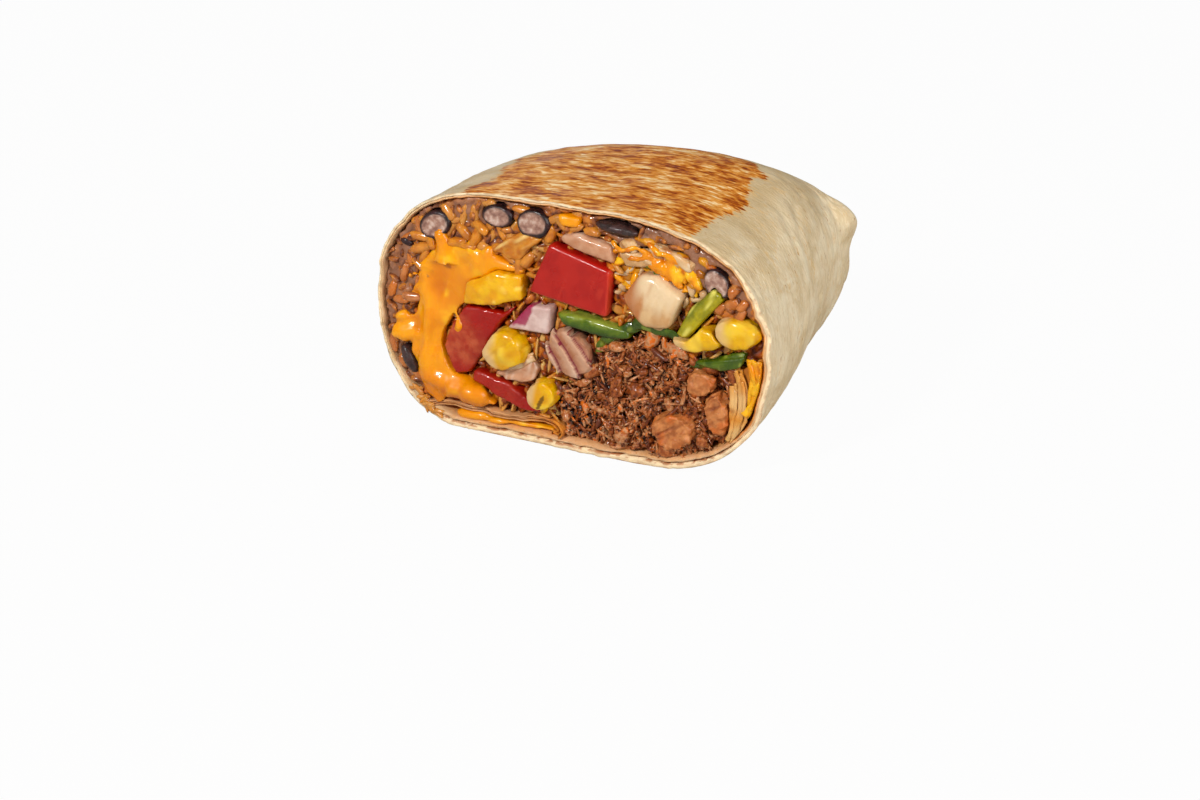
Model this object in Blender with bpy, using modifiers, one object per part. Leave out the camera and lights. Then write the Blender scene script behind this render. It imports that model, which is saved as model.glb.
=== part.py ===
"""Half of a filled burrito, cut across and lying on its flat underside.

Everything is drawn in millimetres on the cut face (x to the right, z up, seen from the front) and then
carried back into the roll along y. The sections narrow, lean and at last close in a tucked end.
"""

import math

import bmesh
import bpy

MM = 0.001
FACE_HEIGHT = 59.0
FACE_MIDDLE_X = -2.4
BOX_MIDDLE = (-2.49, 32.0)  # x and y under the middle of the whole half, which becomes the origin
GAP = 0.35  # room between two pieces that touch in the real food
INSET = 0.2  # each layer draws back this much from the line it shares with its neighbour
CURVE_STEP = 3.2

# Cross-sections from the cut face to the tucked end:
# depth, width, how much narrower the base is, shift to the right, top, bottom, lean
SECTIONS = [
    (0, 1.00, 0.00, 0.0, 59.0, 0, 0.00),
    (16, 0.99, 0.02, 0.3, 59.2, 0, 0.01),
    (32, 0.96, 0.09, 1.5, 59.5, 0, 0.03),
    (45, 0.91, 0.15, 3.2, 59.0, 0, 0.05),
    (54, 0.865, 0.18, 4.8, 56.0, 1, 0.05),
    (60, 0.83, 0.20, 6.0, 51.5, 3, 0.05),
    (65, 0.80, 0.20, 6.5, 45.0, 8, 0.05),
    (67, 0.79, 0.20, 6.5, 38.0, 14, 0.03),
    (65, 0.78, 0.18, 6.5, 31.0, 20, 0.00),
    (60, 0.76, 0.15, 6.5, 27.0, 24, 0.00),
]
FILLED_SECTIONS = SECTIONS[:5]
EAR_DEPTH, EAR_DEPTH_SPREAD = 62, 6
EAR_HEIGHT, EAR_HEIGHT_SPREAD = 46, 7
EAR_RIGHT, EAR_LEFT = 7, 4

OUTSIDE = [
    (-28, 0), (-2, 0), (14, 0), (26, 1.2), (35, 5.2), (41.5, 12), (45, 20), (46.5, 29), (45.3, 38),
    (41, 47), (33, 53.6), (22, 57.2), (8, 58.8), (-8, 59), (-22, 58.6), (-34, 56.2), (-43, 50.6),
    (-49, 42), (-51.3, 32), (-51, 22), (-48, 12), (-42.5, 4.5), (-35, 0.9),
]

# Lines on the cut face, each drawn once and shared by the layers on its two sides
WALL_LEFT_AND_TOP = [
    (-36, 4.6), (-43.4, 9.2), (-48, 16.8), (-49.9, 27), (-49.5, 35), (-46.8, 42.8), (-41, 50.3),
    (-32.8, 55.2), (-22, 57.2), (-8, 57.7), (8, 57.4), (20, 56.1), (30, 52.9), (38.9, 47.4),
    (43.3, 41.3), (44.7, 36),
]
WALL_RIGHT_UPPER = [(44.7, 36), (44.8, 31)]
WALL_RIGHT_LOWER = [(44.8, 31), (44.4, 27), (42.5, 20), (38.6, 13), (36.6, 11)]
FLOOR = [(36.6, 11), (33, 8.2), (27, 5), (18, 3.4), (5, 3), (-3.4, 3)]
FLAP_TIP = [(-3.4, 3), (-3, 5), (-4.2, 7)]
FLAP_TOP_RIGHT = [(-4.2, 7), (-12, 6.9), (-20, 7.2)]
FLAP_TOP_LEFT = [(-20, 7.2), (-28, 7.8), (-33, 7.4), (-36, 4.6)]
FLAP_UNDERSIDE = [(-4.4, 5.3), (-14, 5.1), (-25, 5.2), (-32, 5.0)]
FLAP_POCKET_FLOOR = [(-33, 3.6), (-31, 2.3), (-20, 2.2), (-10, 2.5), (-4.5, 2.9)]
RICE_LEFT = [
    (-36, 4.6), (-40, 9.5), (-42, 16), (-42.5, 24), (-40.5, 32), (-39, 39), (-35.5, 44.5), (-29, 45.3),
    (-21, 43.8), (-13, 42),
]
RICE_RIGHT = [
    (-13, 42), (-8.5, 47.5), (-4, 52), (6, 52.6), (13, 50), (22, 47.5), (30, 44.5), (33, 40.5),
    (37.5, 38.6), (44.7, 36),
]
CHEESE_RIGHT = [
    (-13, 42), (-13, 37), (-20, 32.5), (-28, 31.5), (-32.5, 26), (-34.5, 20), (-32.5, 14),
    (-27, 12), (-23, 9.4), (-20, 7.2),
]
MEAT_TOP = [
    (-4.2, 7), (-6.3, 11), (-4, 15.5), (0, 18.5), (4.5, 23), (8, 28), (14, 31), (22, 30.8),
    (27, 27.8), (32, 27), (38.5, 27.5),
]
STRIP_LEFT = [(38.5, 27.5), (38.2, 24), (37.6, 18), (35.6, 12.6), (36.6, 11)]
STRIP_TOP = [(38.5, 27.5), (44.8, 31)]

COLOURS = {
    "toasted_tortilla": (0.80, 0.69, 0.52, 0.65),
    "seasoned_rice": (0.55, 0.27, 0.13, 0.45),
    "melted_cheese": (0.93, 0.55, 0.08, 0.30),
    "ground_meat": (0.24, 0.11, 0.06, 0.55),
    "mixed_vegetables": (0.48, 0.20, 0.06, 0.40),
    "tomato": (0.62, 0.05, 0.03, 0.25),
    "onion": (0.80, 0.66, 0.55, 0.30),
    "red_onion": (0.60, 0.32, 0.40, 0.30),
    "yellow_pepper": (0.88, 0.60, 0.06, 0.25),
    "green_pepper": (0.12, 0.22, 0.03, 0.30),
    "pale_green_pepper": (0.45, 0.48, 0.10, 0.30),
    "sweetcorn": (0.90, 0.64, 0.10, 0.25),
    "black_bean": (0.12, 0.07, 0.07, 0.35),
}


def clear_scene():
    for found in list(bpy.data.objects):
        bpy.data.objects.remove(found, do_unlink=True)


def new_collection(name):
    made = bpy.data.collections.new(name)
    bpy.context.scene.collection.children.link(made)
    return made


def material(name):
    found = bpy.data.materials.get(name)
    if found:
        return found
    made = bpy.data.materials.new(name)
    made.use_nodes = True
    shader = made.node_tree.nodes["Principled BSDF"]
    red, green, blue, roughness = COLOURS[name]
    shader.inputs["Base Color"].default_value = (red, green, blue, 1)
    shader.inputs["Roughness"].default_value = roughness
    shader.inputs["Metallic"].default_value = 0
    made.diffuse_color = (red, green, blue, 1)
    return made


def spline_point(a, b, c, d, t):
    """A point between b and c on the Catmull-Rom curve through a, b, c and d."""
    return tuple(
        0.5 * (2 * q + (r - p) * t + (2 * p - 5 * q + 4 * r - s) * t * t + (3 * q - p - 3 * r + s) * t**3)
        for p, q, r, s in zip(a, b, c, d)
    )


def smooth_line(points, closed=False, step=CURVE_STEP):
    """The curve through the points, with a point about every step. An open one keeps both its ends."""
    count = len(points)
    spans = count if closed else count - 1
    line = []
    for i in range(spans):
        if closed:
            a, b, c, d = (points[(i + k) % count] for k in (-1, 0, 1, 2))
        else:
            a, b, c, d = (points[min(max(i + k, 0), count - 1)] for k in (-1, 0, 1, 2))
        parts = max(1, round(math.dist(b, c) / step))
        line += [spline_point(a, b, c, d, k / parts) for k in range(parts)]
    return line if closed else line + [points[-1]]


def area_of(outline):
    ends = zip(outline, outline[1:] + outline[:1])
    return sum(x1 * z2 - x2 * z1 for (x1, z1), (x2, z2) in ends) / 2


def counter_clockwise(outline):
    return outline if area_of(outline) > 0 else outline[::-1]


def region(*lines):
    """One closed outline from lines that follow each other; a line given as (line, -1) is walked backwards."""
    outline = []
    for line in lines:
        backwards = isinstance(line, tuple)
        walked = smooth_line(line[0])[::-1] if backwards else smooth_line(line)
        outline += walked[:-1]
    return counter_clockwise(outline)


def moved_out(outline, distance):
    """The counter-clockwise outline moved outwards, or inwards for a negative distance."""
    moved = []
    for i, (x, z) in enumerate(outline):
        (x0, z0), (x1, z1) = outline[i - 1], outline[(i + 1) % len(outline)]
        first, last = math.atan2(z - z0, x - x0), math.atan2(z1 - z, x1 - x)
        turn = math.remainder(last - first, math.tau) / 2
        reach = distance / max(math.cos(turn), 0.45)
        normal = first + turn - math.pi / 2
        moved.append((x + reach * math.cos(normal), z + reach * math.sin(normal)))
    return moved


def ear(depth, x, z):
    """How far the two corners of the tucked end stand out sideways."""
    bump = math.exp(-(((depth - EAR_DEPTH) / EAR_DEPTH_SPREAD) ** 2))
    bump *= math.exp(-(((z - EAR_HEIGHT) / EAR_HEIGHT_SPREAD) ** 2))
    right = min(max((x - 20) / 25, 0), 1)
    left = min(max((-x - 25) / 25, 0), 1)
    return bump * (EAR_RIGHT * right - EAR_LEFT * left)


def carried(x, z, section):
    """Where a point of the cut face lies on a section deeper in the roll, in metres about the origin."""
    depth, width, keystone, shift, top, bottom, lean = section
    share = z / FACE_HEIGHT
    across = (x - FACE_MIDDLE_X) * width * (1 - keystone * (1 - share)) + FACE_MIDDLE_X + shift
    across += ear(depth, x, bottom + share * (top - bottom) + lean * x * share)
    height = max(bottom + share * (top - bottom) + lean * x * share, 0)
    return ((across - BOX_MIDDLE[0]) * MM, (depth - BOX_MIDDLE[1]) * MM, height * MM)


def section_at(depth):
    """The section at any depth within the filling, between its two neighbours."""
    for near, far in zip(FILLED_SECTIONS, FILLED_SECTIONS[1:]):
        if depth <= far[0]:
            break
    share = max((depth - near[0]) / (far[0] - near[0]), 0)
    between = [a + share * (b - a) for a, b in zip(near, far)]
    return (depth, *between[1:])


def new_object(name, mesh_tools, finish, collection):
    bmesh.ops.recalc_face_normals(mesh_tools, faces=mesh_tools.faces)
    mesh = bpy.data.meshes.new(name)
    mesh_tools.to_mesh(mesh)
    mesh_tools.free()
    made = bpy.data.objects.new(name, mesh)
    if finish:
        mesh.materials.append(material(finish))
    else:
        made.hide_render = True
        made.display_type = "WIRE"
    collection.objects.link(made)
    return made


def loft(name, outline, sections, finish, collection):
    """A closed body through the same outline carried to each section, with a flat face at both ends."""
    tools = bmesh.new()
    rings = [[tools.verts.new(carried(x, z, section)) for x, z in outline] for section in sections]
    for near, far in zip(rings, rings[1:]):
        for i in range(len(outline)):
            tools.faces.new((near[i - 1], near[i], far[i], far[i - 1]))
    tools.faces.new(rings[0])
    tools.faces.new(rings[-1][::-1])
    return new_object(name, tools, finish, collection)


def slab(name, outline, front, back, finish, collection):
    """A flat piece between two depths: the outline extruded into the roll."""
    tools = bmesh.new()
    face = tools.faces.new([tools.verts.new(carried(x, z, section_at(front))) for x, z in outline])
    pushed = bmesh.ops.extrude_face_region(tools, geom=[face])["geom"]
    rear = [found for found in pushed if isinstance(found, bmesh.types.BMVert)]
    for vertex, (x, z) in zip(rear, outline):
        vertex.co = carried(x, z, section_at(back))
    return new_object(name, tools, finish, collection)


def pebble(name, centre, radii, tilt, front, depth, finish, collection):
    """A half-buried rounded piece, widest at the cut face and cut flat where it stands out by front."""
    tools = bmesh.new()
    bmesh.ops.create_uvsphere(tools, u_segments=12, v_segments=8, radius=1)
    turn_x, turn_z = math.cos(tilt), math.sin(tilt)
    for vertex in tools.verts:
        right, away, up = vertex.co.x * radii[0], vertex.co.y * depth, vertex.co.z * radii[1]
        y = max(away, front)
        x = centre[0] + right * turn_x - up * turn_z
        z = centre[1] + right * turn_z + up * turn_x
        vertex.co = carried(x, z, section_at(y))
    return new_object(name, tools, finish, collection)


def cut(target, cutter):
    difference = target.modifiers.new("less " + cutter.name[:40], "BOOLEAN")
    difference.operation = "DIFFERENCE"
    difference.solver = "EXACT"
    difference.object = cutter


def soften_edges(piece, width=0.45):
    bevel = piece.modifiers.new("soft edges", "BEVEL")
    bevel.width = width * MM
    bevel.segments = 1
    bevel.limit_method = "ANGLE"
    bevel.angle_limit = math.radians(50)


def ellipse(centre, radii, tilt, points=16):
    """Points round an ellipse that leans by tilt, in radians."""
    outline = []
    for i in range(points):
        angle = math.tau * i / points
        right, up = radii[0] * math.cos(angle), radii[1] * math.sin(angle)
        x = centre[0] + right * math.cos(tilt) - up * math.sin(tilt)
        z = centre[1] + right * math.sin(tilt) + up * math.cos(tilt)
        outline.append((x, z))
    return outline


def is_inside(point, outline):
    """Whether the point lies within the outline, by counting the sides that a line to the right crosses."""
    x, z = point
    crossed = False
    for (x1, z1), (x2, z2) in zip(outline, outline[1:] + outline[:1]):
        if (z1 > z) != (z2 > z) and x < x1 + (z - z1) * (x2 - x1) / (z2 - z1):
            crossed = not crossed
    return crossed


def meet(a, b):
    """Whether two outlines overlap, going by the points along each of them."""
    a_line = smooth_line(a, closed=True, step=0.8)
    b_line = smooth_line(b, closed=True, step=0.8)
    return any(is_inside(point, b) for point in a_line) or any(is_inside(point, a) for point in b_line)


# Pieces seen in the cut, in the order that they are laid: an earlier piece keeps its shape, and what
# comes later makes room for it. Slabs: name, finish, outline, how far the front stands out, depth.
SLABS = [
    ("tomato_large", "tomato", [(-6, 49.5), (8.8, 45.5), (8, 34.5), (-11.3, 37.5)], 1.8, 12),
    ("onion_top", "onion", [(-3.5, 51.6), (1, 52.6), (8.6, 51), (9.4, 47), (0, 49), (-3.4, 50.3)], 1.0, 9),
    ("onion_large", "onion", [(11.5, 40), (16, 46), (20, 46.3), (26, 42), (23, 34.6), (17, 34.3)], 2.0, 13),
    ("yellow_pepper", "yellow_pepper", [(-27, 37), (-20, 40.6), (-13, 40.8), (-13, 35), (-20, 32.6),
                                        (-28, 31.6)], 1.8, 11),
    ("onion_purple", "red_onion", [(-17, 27.6), (-11.5, 34), (-6, 34.3), (-6.6, 27.8)], 1.4, 9),
    ("tomato_left", "tomato", [(-28, 31), (-18.5, 30.6), (-15, 33), (-20, 27), (-24, 20), (-27.4, 14.4),
                               (-31, 13.4), (-34, 20), (-31.6, 26)], 0.6, 12),
    ("tomato_lower", "tomato", [(-26, 15.6), (-17, 13.6), (-12.6, 11), (-8.6, 8), (-14, 7.8),
                                (-20, 9.8), (-26.5, 13)], 0.8, 12),
    ("jalapeno_strip", "green_pepper", [(-4.8, 33.3), (2, 33.8), (13, 31.6), (13.4, 29), (8, 27.8),
                                        (-3, 29.6)], 1.0, 10),
    ("pepper_strip_diagonal", "pale_green_pepper", [(24, 33), (27.4, 33), (35.6, 43), (33, 45), (28, 40)],
     1.0, 10),
    ("leaf_wedge", "green_pepper", [(28.6, 27.6), (40.6, 31), (39.8, 28), (35, 26.4)], 1.2, 9),
    ("onion_cooked", "onion", [(-21, 45), (-14.5, 50.2), (-8, 50), (-14, 43.6)], 0.8, 8),
    ("onion_shred_left", "onion", [(10, 49.6), (17, 51.4), (20, 48), (12, 46.8)], 0.6, 8),
    ("onion_shred_right", "onion", [(18.6, 53.4), (26, 51), (27.4, 47.6), (21, 49)], 0.6, 8),
    ("onion_strip", "red_onion", [(-20.6, 15.4), (-11, 20.6), (-9.4, 18), (-12, 15), (-18, 14.6)], 0.8, 9),
    ("cheese_bit", "melted_cheese", [(-4.5, 56.2), (1, 56.2), (0.6, 53.8), (-3.6, 53.6)], 0.8, 6),
]
# Pebbles: name, finish, centre, half width and half height, tilt in degrees, front, depth
PEBBLES = [
    ("corn_left", "sweetcorn", (-17.6, 22), (5.8, 5.2), 20, -3.0, 8),
    ("corn_middle", "sweetcorn", (-8.3, 12.9), (4.0, 3.5), 35, -2.4, 7.5),
    ("corn_right", "sweetcorn", (38.6, 36), (5.4, 3.4), -6, -2.2, 8),
    ("corn_tilted", "sweetcorn", (29.8, 33.2), (6.4, 2.8), 8, -2.2, 8),
    ("onion_layered", "red_onion", (-1.6, 24), (6.4, 5.2), -42, -1.4, 8),
    ("bean_corner", "black_bean", (-35.4, 49.0), (4.2, 2.9), 32, -0.6, 8),
    ("bean_top_left", "black_bean", (-19.5, 53.4), (3.8, 2.4), 0, -0.4, 8),
    ("bean_top_right", "black_bean", (-10.4, 53.0), (4.0, 3.2), 10, -0.8, 9),
    ("bean_right", "black_bean", (33.4, 46.0), (2.6, 3.5), 24, -0.6, 8),
    ("bean_left_low", "black_bean", (-43.3, 14.9), (1.7, 3.8), 28, -0.4, 7),
    ("bean_flat", "black_bean", (9.6, 54.9), (5.2, 1.3), -5, -0.3, 7),
    ("meat_chunk_wide", "ground_meat", (24.0, 10.4), (5.4, 4.0), 10, -2.2, 8),
    ("meat_chunk_tall", "ground_meat", (34.2, 16.4), (2.8, 4.6), 12, -1.6, 8),
    ("meat_chunk_upper", "ground_meat", (30.2, 22.6), (3.4, 3.0), 0, -1.6, 8),
]

# Layers run through the whole filled depth: name, finish, outline, depth of the front
LAYERS = [
    ("rice_and_beans", "seasoned_rice",
     region(WALL_LEFT_AND_TOP, (RICE_RIGHT, -1), (RICE_LEFT, -1)), 0.4),
    ("cheese_sauce", "melted_cheese", region(RICE_LEFT, CHEESE_RIGHT, FLAP_TOP_LEFT), -0.6),
    ("ground_meat", "ground_meat",
     region(FLOOR, FLAP_TIP, MEAT_TOP, STRIP_LEFT), 0.2),
    ("vegetable_mix", "mixed_vegetables",
     region(RICE_RIGHT, WALL_RIGHT_UPPER, (STRIP_TOP, -1), (MEAT_TOP, -1), FLAP_TOP_RIGHT,
            (CHEESE_RIGHT, -1)), 1.2),
    ("cheese_and_onion_strip", "melted_cheese",
     region(WALL_RIGHT_LOWER, (STRIP_LEFT, -1), STRIP_TOP), 0.5),
    ("cheese_under_flap", "melted_cheese",
     counter_clockwise([(-31, 4.5), (-31, 3.0), (-20, 2.9), (-10, 3.1), (-6, 3.5), (-6, 4.5), (-20, 4.5)]), 0.3),
]


def cavity_outline():
    pocket = smooth_line(FLAP_UNDERSIDE) + smooth_line(FLAP_POCKET_FLOOR)
    flap_top = smooth_line(FLAP_TOP_RIGHT) + smooth_line(FLAP_TOP_LEFT)[1:]
    above = smooth_line(WALL_LEFT_AND_TOP) + smooth_line(WALL_RIGHT_UPPER)[1:]
    right = smooth_line(WALL_RIGHT_LOWER)[1:] + smooth_line(FLOOR)[1:]
    return counter_clockwise(above + right + pocket[::-1] + flap_top[:-1])


def make_tortilla(parts, cutters):
    tortilla = loft("tortilla", smooth_line(OUTSIDE, closed=True, step=4.2), SECTIONS, "toasted_tortilla", parts)
    near, far = FILLED_SECTIONS[0], FILLED_SECTIONS[-1]
    ahead, behind = (near[0] - 3, *near[1:]), (far[0] + 0.6, *far[1:])
    filled = [ahead, *FILLED_SECTIONS[1:-1], behind]
    cut(tortilla, loft("cavity", moved_out(cavity_outline(), 0.12), filled, None, cutters))
    return tortilla


def make_pieces(parts, cutters):
    """Each piece with a slightly larger copy of itself, which cuts the room for it out of what comes later."""
    laid = []
    for name, finish, outline, proud, depth in SLABS:
        outline = counter_clockwise(outline)
        piece = slab(name, outline, -proud, depth, finish, parts)
        soften_edges(piece)
        room = slab("room_for_" + name, moved_out(outline, GAP), -proud - 4, depth + GAP, None, cutters)
        laid.append((piece, room, moved_out(outline, GAP)))
    for name, finish, centre, radii, tilt, front, depth in PEBBLES:
        tilt = math.radians(tilt)
        piece = pebble(name, centre, radii, tilt, front, depth, finish, parts)
        wide = [radius + GAP for radius in radii]
        room = pebble("room_for_" + name, centre, wide, tilt, front - 2, depth + GAP, None, cutters)
        laid.append((piece, room, ellipse(centre, wide, tilt)))
    for i, (_, room, around) in enumerate(laid):
        for later, _, around_later in laid[i + 1:]:
            if meet(around, around_later):
                cut(later, room)
    return laid


def make_layers(parts, laid):
    for name, finish, outline, front in LAYERS:
        first = (front, *FILLED_SECTIONS[0][1:])
        layer = loft(name, moved_out(outline, -INSET), [first, *FILLED_SECTIONS[1:]], finish, parts)
        for _, room, around in laid:
            if meet(around, outline):
                cut(layer, room)


def main():
    clear_scene()
    parts, cutters = new_collection("burrito"), new_collection("cutters")
    make_tortilla(parts, cutters)
    make_layers(parts, make_pieces(parts, cutters))


main()
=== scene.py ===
"""Looks of the burrito half: a toasted tortilla round rice, beans, cheese, meat and vegetables at the cut.

Lengths here are millimetres on the cut face, as in part.py: x to the right, y into the roll and z up,
with the cut at y = 0. `to_world` turns them into the frame's metres.
"""

import itertools
import math

import bmesh
import bpy
import numpy as np
from mathutils import Euler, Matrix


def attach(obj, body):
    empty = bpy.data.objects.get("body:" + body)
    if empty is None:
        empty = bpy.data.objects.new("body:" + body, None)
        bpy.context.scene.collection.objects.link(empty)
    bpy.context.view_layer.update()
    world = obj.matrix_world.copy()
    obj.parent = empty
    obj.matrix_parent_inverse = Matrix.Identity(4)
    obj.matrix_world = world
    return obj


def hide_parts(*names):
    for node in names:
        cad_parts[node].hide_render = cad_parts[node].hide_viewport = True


MM = 0.001
FACE_ORIGIN = np.array([2.49, -32.0, 0.0])  # where the cut face's x = 0, y = 0 lies in the frame, in mm
ROOT = "root"
OBJECT_MIDDLE = np.array([0, 0, 0.03])  # in metres, for the lamps
CAMERA_PLACE = (211.5, -422.0, 222.9)  # in face millimetres
CAMERA_AZIMUTH, CAMERA_ELEVATION, CAMERA_LENS = 26, 24, 69

# The tortilla's outline at the cut and its sections, the same as the CAD part's
OUTSIDE = [
    (-28, 0), (-2, 0), (14, 0), (26, 1.2), (35, 5.2), (41.5, 12), (45, 20), (46.5, 29), (45.3, 38),
    (41, 47), (33, 53.6), (22, 57.2), (8, 58.8), (-8, 59), (-22, 58.6), (-34, 56.2), (-43, 50.6),
    (-49, 42), (-51.3, 32), (-51, 22), (-48, 12), (-42.5, 4.5), (-35, 0.9),
]
# depth, width, how much narrower the base is, shift to the right, top, bottom, lean
SECTIONS = [
    (0, 1.00, 0.00, 0.0, 59.0, 0, 0.00),
    (16, 0.99, 0.02, 0.3, 59.2, 0, 0.01),
    (32, 0.96, 0.09, 1.5, 59.5, 0, 0.03),
    (45, 0.91, 0.15, 3.2, 59.0, 0, 0.05),
    (54, 0.865, 0.18, 4.8, 56.0, 1, 0.05),
    (60, 0.83, 0.20, 6.0, 51.5, 3, 0.05),
    (65, 0.80, 0.20, 6.5, 45.0, 8, 0.05),
    (67, 0.79, 0.20, 6.5, 38.0, 14, 0.03),
    (65, 0.78, 0.18, 6.5, 31.0, 20, 0.00),
    (60, 0.76, 0.15, 6.5, 27.0, 24, 0.00),
]
FACE_HEIGHT = 59.0
FACE_MIDDLE_X = -2.4


# ---------------------------------------------------------------- places and random fields


def to_world(points):
    return (np.asarray(points, float) + FACE_ORIGIN) * MM


def from_world(points):
    return np.asarray(points, float) / MM - FACE_ORIGIN


def smooth_step(low, high, value):
    share = np.clip((value - low) / (high - low), 0, 1)
    return share * share * (3 - 2 * share)


def hashed(cells, seed):
    """A fixed random number between 0 and 1 for each whole-numbered cell."""
    x, y, z = (cells[..., i].astype(np.int64) for i in range(3))
    mixed = (x * 73856093) ^ (y * 19349663) ^ (z * 83492791) ^ (seed * 2654435761)
    mixed = (mixed ^ (mixed >> 13)) * 1274126177 & 0x7FFFFFFF
    mixed = (mixed ^ (mixed >> 11)) * 668265263 & 0x7FFFFFFF
    return (mixed & 0xFFFFF) / 0xFFFFF


def soft_noise(points, cell, seed):
    """A smooth random field between -1 and 1 whose bumps are about cell wide (one size or one an axis)."""
    scaled = np.asarray(points, float) / cell
    base = np.floor(scaled)
    part = scaled - base
    part = part * part * (3 - 2 * part)
    total = np.zeros(len(scaled))
    for corner in itertools.product((0, 1), repeat=3):
        weight = np.prod(np.where(corner, part, 1 - part), axis=1)
        total += weight * hashed(base + corner, seed)
    return 2 * total - 1


def layered_noise(points, cell, seed, layers=3):
    """Soft noise with finer and fainter layers added."""
    cell = np.asarray(cell, float)
    total = sum(soft_noise(points, cell / 2**i, seed + i) / 2**i for i in range(layers))
    return total / (2 - 2 ** (1 - layers))


def pebbles(points, cell, seed):
    """Distances in cells to the nearest two of some scattered centres, and the nearest one's own number."""
    scaled = np.asarray(points, float) / cell
    base = np.floor(scaled)
    first = np.full(len(scaled), 9.0)
    second = first.copy()
    own = np.zeros(len(scaled))
    for step in itertools.product((-1, 0, 1), repeat=3):
        cells = base + step
        centre = cells + np.stack([hashed(cells, seed + k) for k in range(3)], axis=1)
        far = np.linalg.norm(scaled - centre, axis=1)
        second = np.where(far < first, first, np.minimum(second, far))
        own = np.where(far < first, hashed(cells, seed + 7), own)
        first = np.minimum(first, far)
    return first, second, own


def torn(points, cell, seed):
    """Relief of torn meat, where each chunk has its own height and run of fibres, and each chunk's number."""
    drift = np.stack([soft_noise(points, cell * 0.6, seed + k) for k in (20, 21, 22)], axis=1)
    near, second, own = pebbles(points + 0.35 * cell * drift, cell, seed)
    turn = own * math.tau
    across = points[:, 0] * np.cos(turn) + points[:, 2] * np.sin(turn)
    along = points[:, 2] * np.cos(turn) - points[:, 0] * np.sin(turn)
    fibres = soft_noise(np.stack([across / 0.5, points[:, 1] / 1.5, along / 3.5], axis=1), 1.0, seed + 30)
    gap = 1 - smooth_step(0.0, 0.3, second - near)
    return (own - 0.5) - 0.7 * gap + 0.25 * fibres, own


def run_along(points, degrees, across, along, seed):
    """Soft noise drawn out along a direction on the cut face, given in degrees from x towards z."""
    turn = math.radians(degrees)
    far = points[:, 0] * math.cos(turn) + points[:, 2] * math.sin(turn)
    side = points[:, 2] * math.cos(turn) - points[:, 0] * math.sin(turn)
    return soft_noise(np.stack([far / along, points[:, 1] / (2 * across), side / across], axis=1), 1.0, seed)


def spots(points, cell, seed, low=0.0, high=0.7):
    """Soft-edged patches: 1 where the noise is above high, 0 where it is below low."""
    return smooth_step(low, high, soft_noise(points, cell, seed))


# ---------------------------------------------------------------- materials


def srgb(red, green, blue):
    """A colour given as it looks on screen, 0 to 255, as linear light."""
    shares = [value / 255 for value in (red, green, blue)]
    return tuple(s / 12.92 if s <= 0.04045 else ((s + 0.055) / 1.055) ** 2.4 for s in shares) + (1.0,)


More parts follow.
